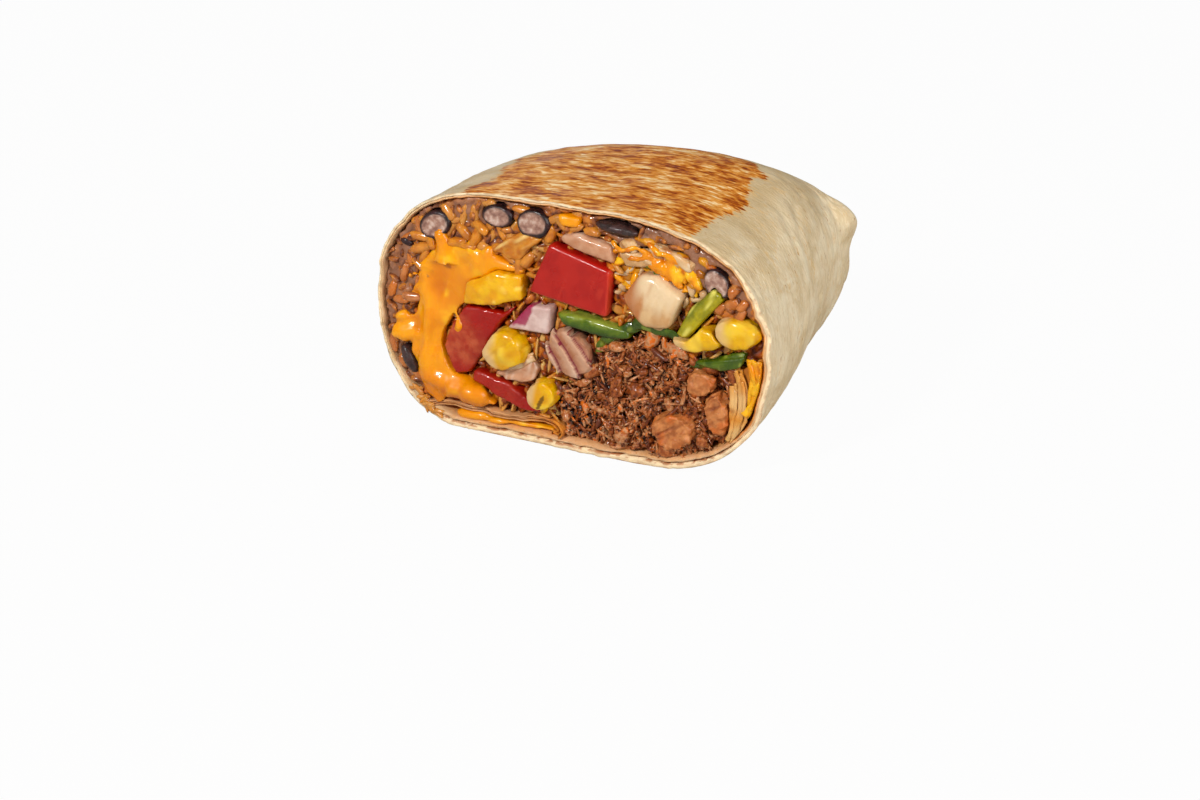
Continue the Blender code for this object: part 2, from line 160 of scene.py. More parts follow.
class Finish:
    """Builds one procedural material, node by node."""

    def __init__(self, name, roughness=0.5, coat=0.0, coat_roughness=0.2, subsurface=0.0, specular=0.5):
        self.material = bpy.data.materials.new(name)
        self.material.use_nodes = True
        self.tree = self.material.node_tree
        self.shader = self.tree.nodes["Principled BSDF"]
        self.place = self.tree.nodes.new("ShaderNodeTexCoord").outputs["Object"]
        self.set("Roughness", roughness)
        self.set("Coat Weight", coat)
        self.set("Coat Roughness", coat_roughness)
        self.set("Specular IOR Level", specular)
        self.set("Subsurface Weight", subsurface)
        self.set("Subsurface Scale", 0.002)
        self.set("Subsurface Radius", (1.0, 0.6, 0.4))

    def set(self, socket, value):
        self.shader.inputs[socket].default_value = value

    def join(self, output, target):
        self.tree.links.new(output, target)
        return self

    def noise(self, cell, detail=3, offset=0.0, turn=0.0, bent=0.0):
        """A random pattern with features about cell mm wide, one size or one for each axis."""
        sizes = (cell,) * 3 if isinstance(cell, (int, float)) else cell
        mapping = self.tree.nodes.new("ShaderNodeMapping")
        mapping.inputs["Scale"].default_value = [1 / (size * MM) for size in sizes]
        mapping.inputs["Location"].default_value = (offset, offset * 1.7, offset * 0.6)
        pattern = self.tree.nodes.new("ShaderNodeTexNoise")
        pattern.inputs["Scale"].default_value = 1
        pattern.inputs["Detail"].default_value = detail
        pattern.inputs["Distortion"].default_value = bent
        place = self.place
        if turn:
            turned = self.tree.nodes.new("ShaderNodeMapping")
            turned.inputs["Rotation"].default_value = (0, 0, math.radians(turn))
            self.join(place, turned.inputs["Vector"])
            place = turned.outputs["Vector"]
        self.join(place, mapping.inputs["Vector"])
        self.join(mapping.outputs["Vector"], pattern.inputs["Vector"])
        return pattern.outputs["Fac"]

    def mark(self, name):
        found = self.tree.nodes.new("ShaderNodeAttribute")
        found.attribute_name = name
        return found.outputs["Fac"]

    def scaled(self, value, low, high, to_low=0.0, to_high=1.0):
        """The value stretched so that low..high becomes to_low..to_high, and held there."""
        spread = self.tree.nodes.new("ShaderNodeMapRange")
        spread.interpolation_type = "SMOOTHSTEP"
        limits = {"From Min": low, "From Max": high, "To Min": to_low, "To Max": to_high}
        for socket, number in limits.items():
            spread.inputs[socket].default_value = number
        self.join(value, spread.inputs["Value"])
        return spread.outputs["Result"]

    def maths(self, operation, first, second):
        made = self.tree.nodes.new("ShaderNodeMath")
        made.operation = operation
        for socket, value in zip(made.inputs, (first, second)):
            if isinstance(value, (int, float)):
                socket.default_value = value
            else:
                self.join(value, socket)
        return made.outputs["Value"]

    def ramp(self, value, *stops):
        """Colours along a value: each stop is a place and a colour."""
        made = self.tree.nodes.new("ShaderNodeValToRGB")
        elements = made.color_ramp.elements
        while len(elements) < len(stops):
            elements.new(0.5)
        for element, (place, colour) in zip(elements, stops):
            element.position = place
            element.color = colour
        self.join(value, made.inputs["Fac"])
        return made.outputs["Color"]

    def blend(self, share, first, second, how="MIX"):
        made = self.tree.nodes.new("ShaderNodeMix")
        made.data_type = "RGBA"
        made.blend_type = how
        sockets = {"share": made.inputs[0], "first": made.inputs[6], "second": made.inputs[7]}
        for key, value in (("share", share), ("first", first), ("second", second)):
            if isinstance(value, (int, float, tuple)):
                sockets[key].default_value = value
            else:
                self.join(value, sockets[key])
        return made.outputs[2]

    def colour(self, output):
        return self.join(output, self.shader.inputs["Base Color"])

    def uneven_gloss(self, cell, low, high, offset=3.0):
        spread = self.scaled(self.noise(cell, 2, offset), 0.35, 0.65, low, high)
        return self.join(spread, self.shader.inputs["Roughness"])

    def bump(self, value, height):
        made = self.tree.nodes.new("ShaderNodeBump")
        made.inputs["Strength"].default_value = 1.0
        made.inputs["Distance"].default_value = height * MM
        self.join(value, made.inputs["Height"])
        return self.join(made.outputs["Normal"], self.shader.inputs["Normal"])


def two_tone(
    name, first, second, cell, tone=None, mark=None, gloss=(0.3, 0.5), bump=0.0, bump_cell=0.6, **shader
):
    """A finish that drifts between two colours, with colours for a piece's own tone and marks where given."""
    made = Finish(name, **shader)
    colour = made.blend(made.scaled(made.noise(cell), 0.35, 0.65), first, second)
    if tone:
        colour = made.blend(made.mark("tone"), colour, tone)
    if mark:
        colour = made.blend(made.mark("mark"), colour, mark)
    # painted shade: darker in the hollows that a piece's relief left
    colour = made.blend(made.mark("sunk_shade"), colour, tuple(0.2 * value for value in first[:3]) + (1.0,))
    made.colour(colour)
    made.uneven_gloss(cell * 1.3, *gloss)
    if bump:
        made.bump(made.noise(bump_cell, 3, 5.0), bump)
    return made.material


def tortilla_finish():
    """Pale dough with flecks, painted shade on the top, the toasted patch, and the stains, crumb and sear of the
    cut edge, with painted shade in the groove where two layers meet.
    """
    made = Finish("tortilla", roughness=0.62, subsurface=0.1, specular=0.1)
    pale = made.ramp(
        made.noise(9, 5, bent=0.6), (0.38, srgb(208, 184, 144)), (0.5, srgb(222, 200, 162)),
        (0.62, srgb(230, 212, 178)),
    )
    streaks = made.scaled(made.noise((2.6, 0.8, 3.6), 5, 2.0, bent=1.2), 0.48, 0.68)
    pale = made.blend(made.maths("MULTIPLY", streaks, 0.28), pale, srgb(186, 160, 114))
    chalky = made.scaled(made.noise((1.4, 0.7, 1.4), 4, 7.0, bent=0.5), 0.52, 0.66)
    pale = made.blend(made.maths("MULTIPLY", chalky, 0.35), pale, srgb(236, 224, 198))
    flecks = made.scaled(made.noise((1.6, 0.6, 2.4), 1, 9.0), 0.72, 0.75)
    pale = made.blend(made.maths("MULTIPLY", flecks, 0.75), pale, srgb(170, 114, 58))
    # painted shade: the upper mark darkens the dough's top towards a greyer brown
    pale = made.blend(made.mark("upper"), pale, srgb(178, 150, 104))
    blotches = made.noise((7, 3.6, 7), 3, 3.0, bent=0.6)
    coarse = made.noise((4.6, 1.3, 3.0), 5, 1.0, turn=-6, bent=0.7)
    fine = made.noise((2.2, 0.6, 1.0), 4, 4.0, turn=-9, bent=0.5)
    both = made.maths("ADD", made.maths("MULTIPLY", coarse, 0.4), made.maths("MULTIPLY", fine, 0.32))
    both = made.maths("ADD", both, made.maths("MULTIPLY", blotches, 0.28))
    toast = made.ramp(
        both, (0.40, srgb(124, 48, 4)), (0.45, srgb(172, 86, 14)), (0.495, srgb(206, 128, 40)),
        (0.545, srgb(224, 160, 78)), (0.60, srgb(240, 212, 160)),
    )
    ragged = made.maths("ADD", made.mark("toast"), made.scaled(both, 0.38, 0.62, 0.34, -0.34))
    pale = made.blend(made.scaled(ragged, 0.2, 0.5), pale, srgb(214, 172, 108))
    colour = made.blend(made.scaled(ragged, 0.4, 0.56), pale, toast)
    stained = made.ramp(made.noise(2.5, 3, 6.0), (0.4, srgb(206, 128, 44)), (0.6, srgb(196, 124, 62)))
    colour = made.blend(made.mark("stain"), colour, stained)
    colour = made.blend(made.mark("crumb"), colour, srgb(238, 212, 172))
    # sear_and_shade: brown toasting speckle at the cut edge, and painted shade in the groove where two layers meet
    sear_and_shade = made.scaled(made.noise((2.0, 2.0, 1.0), 4, 12.0), 0.44, 0.58)
    colour = made.blend(made.maths("MULTIPLY", made.mark("sear_and_shade"), sear_and_shade), colour, srgb(158, 82, 26))
    made.colour(colour)
    made.uneven_gloss(5, 0.5, 0.68)
    made.bump(made.noise((1.4, 0.6, 1.4), 5, 8.0), 0.16)
    return made.material


def sauce_finish(name, dark, middle, light, cell, other=None, **shader):
    """Wet filling: three colours in patches, painted shade in the hollows, and another colour where it is marked.
    """
    made = Finish(name, **shader)
    patches = made.ramp(made.noise(cell, 4), (0.38, dark), (0.5, middle), (0.62, light))
    colour = made.blend(made.mark("mark"), patches, other or light)
    # painted shade in the hollows
    colour = made.blend(made.mark("sunk_shade"), colour, tuple(0.12 * v for v in dark[:3]) + (1.0,))
    made.colour(colour)
    made.uneven_gloss(cell * 0.6, 0.2, 0.55)
    made.bump(made.noise(0.5, 3, 5.0), 0.08)
    return made.material


def meat_finish(name, **shader):
    made = Finish(name, **shader)
    drift = made.maths("ADD", made.mark("tone"), made.scaled(made.noise(0.9, 3), 0.3, 0.7, -0.22, 0.22))
    # the stop at 0.82 is a painted sheen, a pale tan highlight colour; the others are the meat's own colours
    colour = made.ramp(
        drift, (0.05, srgb(94, 38, 10)), (0.35, srgb(142, 68, 20)), (0.6, srgb(170, 96, 44)),
        (0.82, srgb(194, 142, 98)), (0.97, srgb(208, 100, 12)),
    )
    # painted shade: near black in the hollows
    colour = made.blend(made.mark("sunk_shade"), colour, srgb(36, 10, 5))
    made.colour(colour)
    made.uneven_gloss(1.2, 0.2, 0.6)
    made.bump(made.noise((0.35, 0.35, 0.7), 3, 5.0), 0.12)
    return made.material


def bean_finish():
    made = Finish("black_bean", coat=0.2, coat_roughness=0.25, subsurface=0.08, specular=0.35)
    flesh = made.ramp(
        made.noise(1.5, 4, 1.0), (0.34, srgb(128, 90, 76)), (0.5, srgb(166, 126, 108)),
        (0.66, srgb(200, 172, 156)),
    )
    skin = made.ramp(made.noise(1.2, 2, 3.0), (0.4, srgb(20, 7, 10)), (0.6, srgb(52, 26, 28)))
    made.colour(made.blend(made.mark("mark"), flesh, skin))
    made.uneven_gloss(1.5, 0.25, 0.5)
    made.bump(made.noise(0.4, 3, 5.0), 0.06)
    return made.material


FINISHES = {}


def build_finishes():
    wet = {"coat": 0.3, "coat_roughness": 0.05, "subsurface": 0.12, "specular": 0.3}
    dull = {"coat": 0.15, "coat_roughness": 0.2, "subsurface": 0.1, "specular": 0.35}
    glazed = {"coat": 0.3, "coat_roughness": 0.08, "subsurface": 0.2, "specular": 0.35}
    FINISHES["tortilla"] = tortilla_finish()
    FINISHES["black_bean"] = bean_finish()
    FINISHES["rice_layer"] = sauce_finish(
        "bean_paste", srgb(92, 44, 24), srgb(150, 84, 38), srgb(194, 118, 40), 2.0,
        srgb(148, 102, 76), **wet,
    )
    FINISHES["vegetable_layer"] = sauce_finish(
        "vegetable_sauce", srgb(88, 30, 6), srgb(148, 66, 12), srgb(200, 112, 20), 2.4,
        srgb(206, 138, 16), **wet,
    )
    FINISHES["meat_layer"] = meat_finish(
        "ground_meat", coat=0.3, coat_roughness=0.1, subsurface=0.06, specular=0.3
    )
    # meat chunks: the mark colour is painted shade in the relief's hollows, the tone a seared orange
    FINISHES["meat_chunk"] = two_tone(
        "meat_chunk", srgb(170, 96, 44), srgb(196, 124, 68), 1.4, tone=srgb(194, 94, 24),
        mark=srgb(112, 44, 14), gloss=(0.3, 0.55), bump=0.12, bump_cell=0.4, **dull,
    )
    FINISHES["rice"] = two_tone(
        "rice_grain", srgb(176, 94, 14), srgb(208, 128, 26), 2.0, tone=srgb(200, 136, 62), gloss=(0.12, 0.35),
        bump=0.04, **glazed,
    )
    FINISHES["pink_rice"] = two_tone(
        "stained_rice_grain", srgb(160, 90, 42), srgb(190, 124, 72), 2.2, tone=srgb(198, 108, 30),
        gloss=(0.12, 0.35), bump=0.04, **glazed,
    )
    # mark: darker orange, which the main cheese uses as painted shade in its hollows and towards the bottom, and
    # the corner as random spots
    FINISHES["cheese"] = two_tone(
        "melted_cheese", srgb(226, 134, 0), srgb(234, 150, 0), 5.0, tone=srgb(242, 182, 24),
        mark=srgb(206, 108, 0), gloss=(0.2, 0.42), bump=0.05, bump_cell=1.2, **wet,
    )
    # in the strip, the tone is painted light on raised parts and the mark painted shade in furrows; on strands both
    # are random
    FINISHES["shredded"] = two_tone(
        "shredded_strip", srgb(204, 124, 24), srgb(216, 148, 62), 3.0, tone=srgb(218, 170, 106),
        mark=srgb(150, 74, 12), gloss=(0.2, 0.42), bump=0.05, bump_cell=0.8, **wet,
    )
    # tomato mark: painted light on the lower-right edges, with fibre streaks
    FINISHES["tomato"] = two_tone(
        "tomato_flesh", srgb(160, 12, 4), srgb(172, 22, 10), 4.0, mark=srgb(202, 56, 34), gloss=(0.25, 0.45),
        bump=0.03, bump_cell=0.8, **dull,
    )
    FINISHES["tomato_soft"] = two_tone(
        "tomato_soft", srgb(158, 40, 12), srgb(182, 78, 42), 3.0, mark=srgb(152, 10, 0), gloss=(0.2, 0.45),
        bump=0.08, bump_cell=0.5, **wet,
    )
    # onion mark: the big onion's orange-brown stain, painted shade in the furrows of the shreds, and random spots
    # elsewhere
    FINISHES["onion"] = two_tone(
        "onion_pale", srgb(192, 144, 92), srgb(212, 172, 122), 2.6, tone=srgb(216, 188, 148),
        mark=srgb(176, 100, 44), gloss=(0.15, 0.35), bump=0.05, bump_cell=0.7, **wet,
    )
    # on the cooked onion piece, the tone is painted light on the grain's ridges and the mark painted shade in its
    # furrows; on the sauce shreds the tone is random
    FINISHES["onion_cooked"] = two_tone(
        "onion_cooked", srgb(184, 104, 20), srgb(202, 134, 44), 2.0, tone=srgb(222, 178, 104),
        mark=srgb(124, 54, 6), gloss=(0.12, 0.3), bump=0.06, bump_cell=0.7, **wet,
    )
    # onion_pink tone: a painted highlight on the petal crests of the layered onion, veins on the strip, random
    # spots on the top piece
    FINISHES["onion_pink"] = two_tone(
        "onion_pink", srgb(178, 120, 84), srgb(194, 144, 110), 2.6, tone=srgb(208, 172, 146),
        mark=srgb(118, 32, 44), gloss=(0.15, 0.35), bump=0.05, bump_cell=0.7, **wet,
    )
    FINISHES["onion_purple"] = two_tone(
        "onion_purple", srgb(192, 158, 148), srgb(212, 184, 174), 2.5, mark=srgb(150, 8, 66),
        gloss=(0.2, 0.4), bump=0.05, bump_cell=0.7, **dull,
    )
    # yellow_pepper mark: painted highlight glints
    FINISHES["yellow_pepper"] = two_tone(
        "yellow_pepper", srgb(220, 150, 2), srgb(230, 176, 12), 3.0, mark=srgb(246, 208, 90),
        gloss=(0.12, 0.3), bump=0.08, bump_cell=1.0, **wet,
    )
    FINISHES["green_pepper"] = two_tone(
        "green_pepper", srgb(66, 90, 8), srgb(92, 112, 14), 2.5, tone=srgb(30, 54, 6),
        mark=srgb(140, 150, 52), gloss=(0.15, 0.35), bump=0.08, bump_cell=0.6, **wet,
    )
    # pale_pepper tone: darker along one long side; mark: painted highlight streaks
    FINISHES["pale_pepper"] = two_tone(
        "pale_green_pepper", srgb(132, 126, 6), srgb(170, 156, 16), 2.5, tone=srgb(84, 96, 6),
        mark=srgb(212, 202, 92), gloss=(0.12, 0.3), bump=0.08, bump_cell=0.6, **wet,
    )
    FINISHES["corn"] = two_tone(
        "sweetcorn", srgb(208, 144, 0), srgb(218, 166, 0), 3.0, tone=srgb(232, 198, 62),
        mark=srgb(212, 174, 118), gloss=(0.15, 0.3), bump=0.03, bump_cell=1.0, **wet,
    )


# ---------------------------------------------------------------- making pieces


def show(name, points, faces, finish, replaces=(), marks=None):
    """One visible piece from points in face millimetres and faces as arrays of quads or triangles."""
    mesh = bpy.data.meshes.new(name)
    groups = faces if isinstance(faces, list) else [faces]
    groups = [np.asarray(group, np.int64) for group in groups if len(group)]
    sizes = np.concatenate([np.full(len(group), group.shape[1]) for group in groups])
    corners = np.concatenate([group.reshape(-1) for group in groups])
    mesh.vertices.add(len(points))
    mesh.vertices.foreach_set("co", to_world(points).astype(np.float32).reshape(-1))
    mesh.loops.add(len(corners))
    mesh.loops.foreach_set("vertex_index", corners.astype(np.int32))
    mesh.polygons.add(len(sizes))
    mesh.polygons.foreach_set("loop_start", (np.cumsum(sizes) - sizes).astype(np.int32))
    mesh.update(calc_edges=True)
    mesh.validate()
    mesh.shade_smooth()
    for key, values in (marks or {}).items():
        mesh.attributes.new(key, "FLOAT", "POINT").data.foreach_set("value", np.asarray(values, np.float32))
    mesh.materials.append(FINISHES[finish])
    made = bpy.data.objects.new(name, mesh)
    bpy.context.scene.collection.objects.link(made)
    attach(made, ROOT)
    if replaces:
        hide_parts(*replaces)
    return made


def arrays_of(mesh):
    """Points in face mm, normals, and quads and triangles of a mesh."""
    points = np.empty(len(mesh.vertices) * 3)
    mesh.vertices.foreach_get("co", points)
    normals = np.empty(len(mesh.vertices) * 3)
    mesh.vertices.foreach_get("normal", normals)
    quads = np.array([p.vertices[:] for p in mesh.polygons if len(p.vertices) == 4]).reshape(-1, 4)
    triangles = np.array([p.vertices[:] for p in mesh.polygons if len(p.vertices) == 3]).reshape(-1, 3)
    return from_world(points.reshape(-1, 3)), normals.reshape(-1, 3), [quads, triangles]


def curve_through(points, count):
    """Points spread along a smooth line through a few given ones."""
    points = np.asarray(points, float)
    places = np.linspace(0, len(points) - 1, count)
    spans = np.minimum(places.astype(int), len(points) - 2)
    t = (places - spans)[:, None]
    a, b, c, d = (points[np.clip(spans + k, 0, len(points) - 1)] for k in (-1, 0, 1, 2))
    return 0.5 * (2 * b + (c - a) * t + (2 * a - 5 * b + 4 * c - d) * t**2 + (3 * b - a - 3 * c + d) * t**3)


def tube(path, radii, sides=10, flat=1.0):
    """A closed tube along a path with a radius at each point; flat squeezes it in depth."""
    path = np.asarray(path, float)
    radii = np.asarray(radii, float)
    along = np.gradient(path, axis=0)
    along /= np.linalg.norm(along, axis=1)[:, None]
    side = np.cross(along, [0, 1, 0])
    side /= np.linalg.norm(side, axis=1)[:, None] + 1e-9
    other = np.cross(side, along)
    angles = np.arange(sides) * math.tau / sides
    cosine = np.cos(angles)[None, :, None]
    sine = np.sin(angles)[None, :, None]
    ring = cosine * side[:, None] + sine * other[:, None] * flat
    points = (path[:, None] + ring * radii[:, None, None]).reshape(-1, 3)
    count = len(path)
    index = np.arange(count * sides).reshape(count, sides)
    rolled = np.roll(index, -1, axis=1)
    quads = np.stack([index[:-1], rolled[:-1], rolled[1:], index[1:]], axis=-1).reshape(-1, 4)
    points = np.vstack([points, path[0], path[-1]])
    first, last = len(points) - 2, len(points) - 1
    caps = [(first, rolled[0, i], index[0, i]) for i in range(sides)]
    caps += [(last, index[-1, i], rolled[-1, i]) for i in range(sides)]
    return points, [quads, np.array(caps)]


def drip(path, radii, flat=0.8, steps=24):
    """A smooth tube through a few points whose radius changes evenly between the given ones."""
    places = np.linspace(0, len(radii) - 1, steps)
    return tube(curve_through(path, steps), np.interp(places, range(len(radii)), radii), 12, flat)


def template_ball(level):
    tools = bmesh.new()
    bmesh.ops.create_icosphere(tools, subdivisions=level, radius=1)
    points = np.array([vertex.co[:] for vertex in tools.verts])
    faces = np.array([[vertex.index for vertex in face.verts] for face in tools.faces])
    tools.free()
    return points, faces


def ball(centre, radii, turn=0.0):
    points, faces = template_ball(4)
    matrix = np.array(Euler((0, -math.radians(turn), 0)).to_matrix())
    return (points * radii) @ matrix.T + np.array(centre), [faces]


def template_grain(rings=11, sides=10):
    """A rice grain one unit long each way: rounded, a little fatter at one end and slightly bent."""
    angles = np.linspace(0.12, math.pi - 0.12, rings)
    along = -np.cos(angles)
    radius = np.sin(angles) ** 0.45 * (1 + 0.1 * along)
    path = np.stack([along, 0.0 * along, 0.10 * along**2], axis=1)
    points, (quads, caps) = tube(path, radius, sides)
    points[-2] -= (0.02, 0, 0)
    points[-1] += (0.02, 0, 0)
    triangles = np.concatenate([quads[:, [0, 1, 2]], quads[:, [0, 2, 3]], caps])
    return points, triangles


def refined(node, voxel, extra=(), smooth=2, front=None, cuts=0):
    """A node's shape as an even fine mesh, with closed shapes melted in and a finer front where asked."""
    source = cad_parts[node].data.copy() if node else bpy.data.meshes.new("shapes")
    tools = bmesh.new()
    tools.from_mesh(source)
    for points, faces in extra:
        made = [tools.verts.new(point) for point in to_world(points)]
        for group in faces:
            for face in group:
                tools.faces.new([made[i] for i in face])
    tools.to_mesh(source)
    tools.free()
    holder = bpy.data.objects.new("holder", source)
    bpy.context.scene.collection.objects.link(holder)
    remesh = holder.modifiers.new("even", "REMESH")
    remesh.mode = "VOXEL"
    remesh.voxel_size = voxel * MM
    if smooth:
        soft = holder.modifiers.new("soft", "SMOOTH")
        soft.factor = 0.5
        soft.iterations = smooth
    graph = bpy.context.evaluated_depsgraph_get()
    mesh = bpy.data.meshes.new_from_object(holder.evaluated_get(graph))
    bpy.data.objects.remove(holder, do_unlink=True)
    for _ in range(cuts):
        tools = bmesh.new()
        tools.from_mesh(mesh)
        limit = (front + FACE_ORIGIN[1]) * MM
        near = [edge for edge in tools.edges if all(vertex.co.y < limit for vertex in edge.verts)]
        bmesh.ops.subdivide_edges(tools, edges=near, cuts=1, use_grid_fill=True)
        bmesh.ops.triangulate(tools, faces=[face for face in tools.faces if len(face.verts) > 4])
        tools.to_mesh(mesh)
        tools.free()
    mesh.update()
    result = arrays_of(mesh)
    bpy.data.meshes.remove(mesh)
    return result


def own_axes(points):
    """Each point's place along a piece's own long and short axes on the face, -1 to 1, from left to right."""
    flat = points[:, [0, 2]]
    middle = (flat.max(0) + flat.min(0)) / 2
    _, axes = np.linalg.eigh(np.cov((flat - middle).T))
    axes = axes[:, ::-1] * np.where(axes[0, ::-1] < 0, -1, 1)
    local = (flat - middle) @ axes
    return local / np.abs(local).max(0)


def shade_where_sunk(lift, low=-0.15, deep=-0.9):
    """Where shade is painted: 1 in the hollows that a displacement left, 0 on its heights."""
    return smooth_step(low, deep, lift)


def near_cut(points, reach=4.0):
    return 1 - smooth_step(reach * 0.5, reach, points[:, 1])


def closed_outline(points, count):
    """A smooth closed curve through the points, cut into even steps, and how far round each step lies."""
    points = np.asarray(points, float)
    steps = 40
    places = np.arange(len(points) * steps) / steps
    spans = places.astype(int)
    t = (places - spans)[:, None]
    a, b, c, d = (points[(spans + k) % len(points)] for k in (-1, 0, 1, 2))
    fine = 0.5 * (2 * b + (c - a) * t + (2 * a - 5 * b + 4 * c - d) * t**2 + (3 * b - a - 3 * c + d) * t**3)
    fine[:, 1] = np.maximum(fine[:, 1], 0)
    lengths = np.linalg.norm(np.roll(fine, -1, axis=0) - fine, axis=1)
    reached = np.concatenate([[0], np.cumsum(lengths)])
    wanted = np.linspace(0, reached[-1], count, endpoint=False)
    looped = np.vstack([fine, fine[:1]])
    even = [np.interp(wanted, reached, looped[:, k]) for k in (0, 1)]
    return np.stack(even, axis=1), wanted


OUTLINE, ROUND = closed_outline(OUTSIDE, 480)
OUTLINE_STEP = np.roll(OUTLINE, -1, axis=0) - np.roll(OUTLINE, 1, axis=0)
OUTWARD = np.stack([OUTLINE_STEP[:, 1], -OUTLINE_STEP[:, 0]], axis=1)
OUTWARD /= np.linalg.norm(OUTWARD, axis=1)[:, None]


def inside_by(points):
    """How far inside the tortilla's outline each point lies on the cut face."""
    flat = points[:, [0, 2]]
    result = np.empty(len(flat))
    batch = 20000
    for start in range(0, len(flat), batch):
        part = flat[start : start + batch]
        gaps = part[:, None] - OUTLINE[None]
        nearest = np.argmin((gaps**2).sum(2), axis=1)
        result[start : start + batch] = -(gaps[range(len(part)), nearest] * OUTWARD[nearest]).sum(1)
    return result


def scattered(points, normals, spacing, seed, keep=None, most_depth=3.0):
    """Indices of points on the front surface, spaced out, in a fixed random order."""
    order = np.random.default_rng(seed).permutation(len(points))
    open_front = (points[:, 1] < most_depth) & (normals[:, 1] < -0.2)
    if keep is not None:
        open_front &= keep
    taken, chosen = {}, []
    for i in order[open_front[order]]:
        cell = tuple(np.floor(points[i] / spacing).astype(int))
        around = itertools.product(*[(c - 1, c, c + 1) for c in cell])
        close = (taken[key] for key in around if key in taken)
        if all(np.linalg.norm(points[i] - points[j]) >= spacing for j in close):
            taken[cell] = i
            chosen.append(i)
    return np.array(chosen, int)


def bits(
    name, template, places, sizes, turns, finish, seed, wobble=0.3, tones=None, margin=1.3, bend=0.0
):
    """Joined copies of a small shape, each with its own place, size, turn, lumps and tone."""
    points, faces = template
    count, each = len(places), len(points)
    turn = np.array([np.array(Euler(t).to_matrix()) for t in turns])
    shapes = np.repeat(points[None], count, axis=0)
    shift = np.arange(count)[:, None, None] * 5.3
    lumps = soft_noise((shapes + shift).reshape(-1, 3), 0.8, seed).reshape(count, each, 1)
    grit = soft_noise((shapes + shift).reshape(-1, 3), 0.35, seed + 1).reshape(count, each, 1)
    shapes = shapes * (1 + wobble * lumps + 0.5 * wobble * grit)
    bends = np.random.default_rng(seed + 2).uniform(-bend, bend, (count, 1))
    shapes[..., 2] += bends * shapes[..., 0] ** 2
    shapes = shapes * np.asarray(sizes)[:, None, :]
    shapes = np.einsum("nij,nvj->nvi", turn, shapes) + np.asarray(places)[:, None, :]
    if tones is None:
        tones = np.random.default_rng(seed).uniform(0, 1, count)
    if margin is not None:
        nearest = inside_by(shapes.reshape(-1, 3)).reshape(count, each).min(1)
        kept = nearest > margin
        shapes, tones = shapes[kept], np.asarray(tones)[kept]
    count = len(shapes)
    all_faces = (faces[None] + np.arange(count)[:, None, None] * each).reshape(-1, faces.shape[1])
    blank = np.zeros(count * each)
    marks = {"tone": np.repeat(tones, each), "mark": blank, "sunk_shade": blank}
    show(name, shapes.reshape(-1, 3), all_faces, finish, (), marks)


# ---------------------------------------------------------------- the tortilla


def section_at(depth):
    """The section at a depth between two of the listed ones, for the straight front part."""
    front = np.array(SECTIONS[:5], float)
    return [np.interp(depth, front[:, 0], front[:, k]) for k in range(front.shape[1])]


def carried(outline, section):
    """The outline carried to a section: points in face millimetres."""
    depth, width, keystone, shift, top, bottom, lean = section
    x, z = outline[:, 0], outline[:, 1]
    share = z / FACE_HEIGHT
    height = bottom + share * (top - bottom) + lean * x * share
    across = (x - FACE_MIDDLE_X) * width * (1 - keystone * (1 - share)) + FACE_MIDDLE_X + shift
    bump = math.exp(-(((depth - 62) / 6) ** 2)) * np.exp(-(((height - 46) / 7) ** 2))
    across = across + bump * (7 * np.clip((x - 20) / 25, 0, 1) - 4 * np.clip((-x - 25) / 25, 0, 1))
    return np.stack([across, np.full(len(x), float(depth)), np.maximum(height, 0)], axis=1)


def grid_faces(rows, columns):
    index = np.arange(rows * columns).reshape(rows, columns)
    rolled = np.roll(index, -1, axis=1)
    return np.stack([index[:-1], index[1:], rolled[1:], rolled[:-1]], axis=-1).reshape(-1, 4)


def wall_thickness():
    """Wall thickness round the cut: one layer on top and at the left, two underneath."""
    x, z = OUTLINE[:, 0], OUTLINE[:, 1]
    under = 1 - smooth_step(1.5, 14, z)
    right = smooth_step(20, 44, x) * smooth_step(2, 14, z) * (1 - smooth_step(40, 52, z))
    return 1.2 + 1.6 * under + 0.7 * right


# how far the toasted patch reaches to the right and to the left at a few depths
TOAST_DEPTHS = (0, 12, 26, 34, 41, 48, 56)
TOAST_RIGHT = (29.0, 28.5, 31.0, 29.5, 28.0, 22.0, 15.0)
TOAST_LEFT = (-30.0, -29.5, -31.0, -31.0, -29.0, -25.0, -20.0)


def toast_mask(points):
    """Where the top was pressed on the griddle: 1 inside the patch, with an uneven edge."""
    x, y, z = points.T
    right = np.interp(y, TOAST_DEPTHS, TOAST_RIGHT) + 1.8 * soft_noise(points * (0, 1, 0), 4.0, 11)
    left = np.interp(y, TOAST_DEPTHS, TOAST_LEFT) + 2.0 * soft_noise(points * (0, 1, 0), 5.0, 12)
    inside = smooth_step(0, 4.5, right - x) * smooth_step(0, 6.0, x - left)
    under = 0.85 * (1 - smooth_step(2.0, 6.0, z)) * smooth_step(-34, -28, x) * smooth_step(28, 20, x)
    return np.maximum(inside * smooth_step(46, 54.5, z) * (1 - smooth_step(56, 64, y)), under)


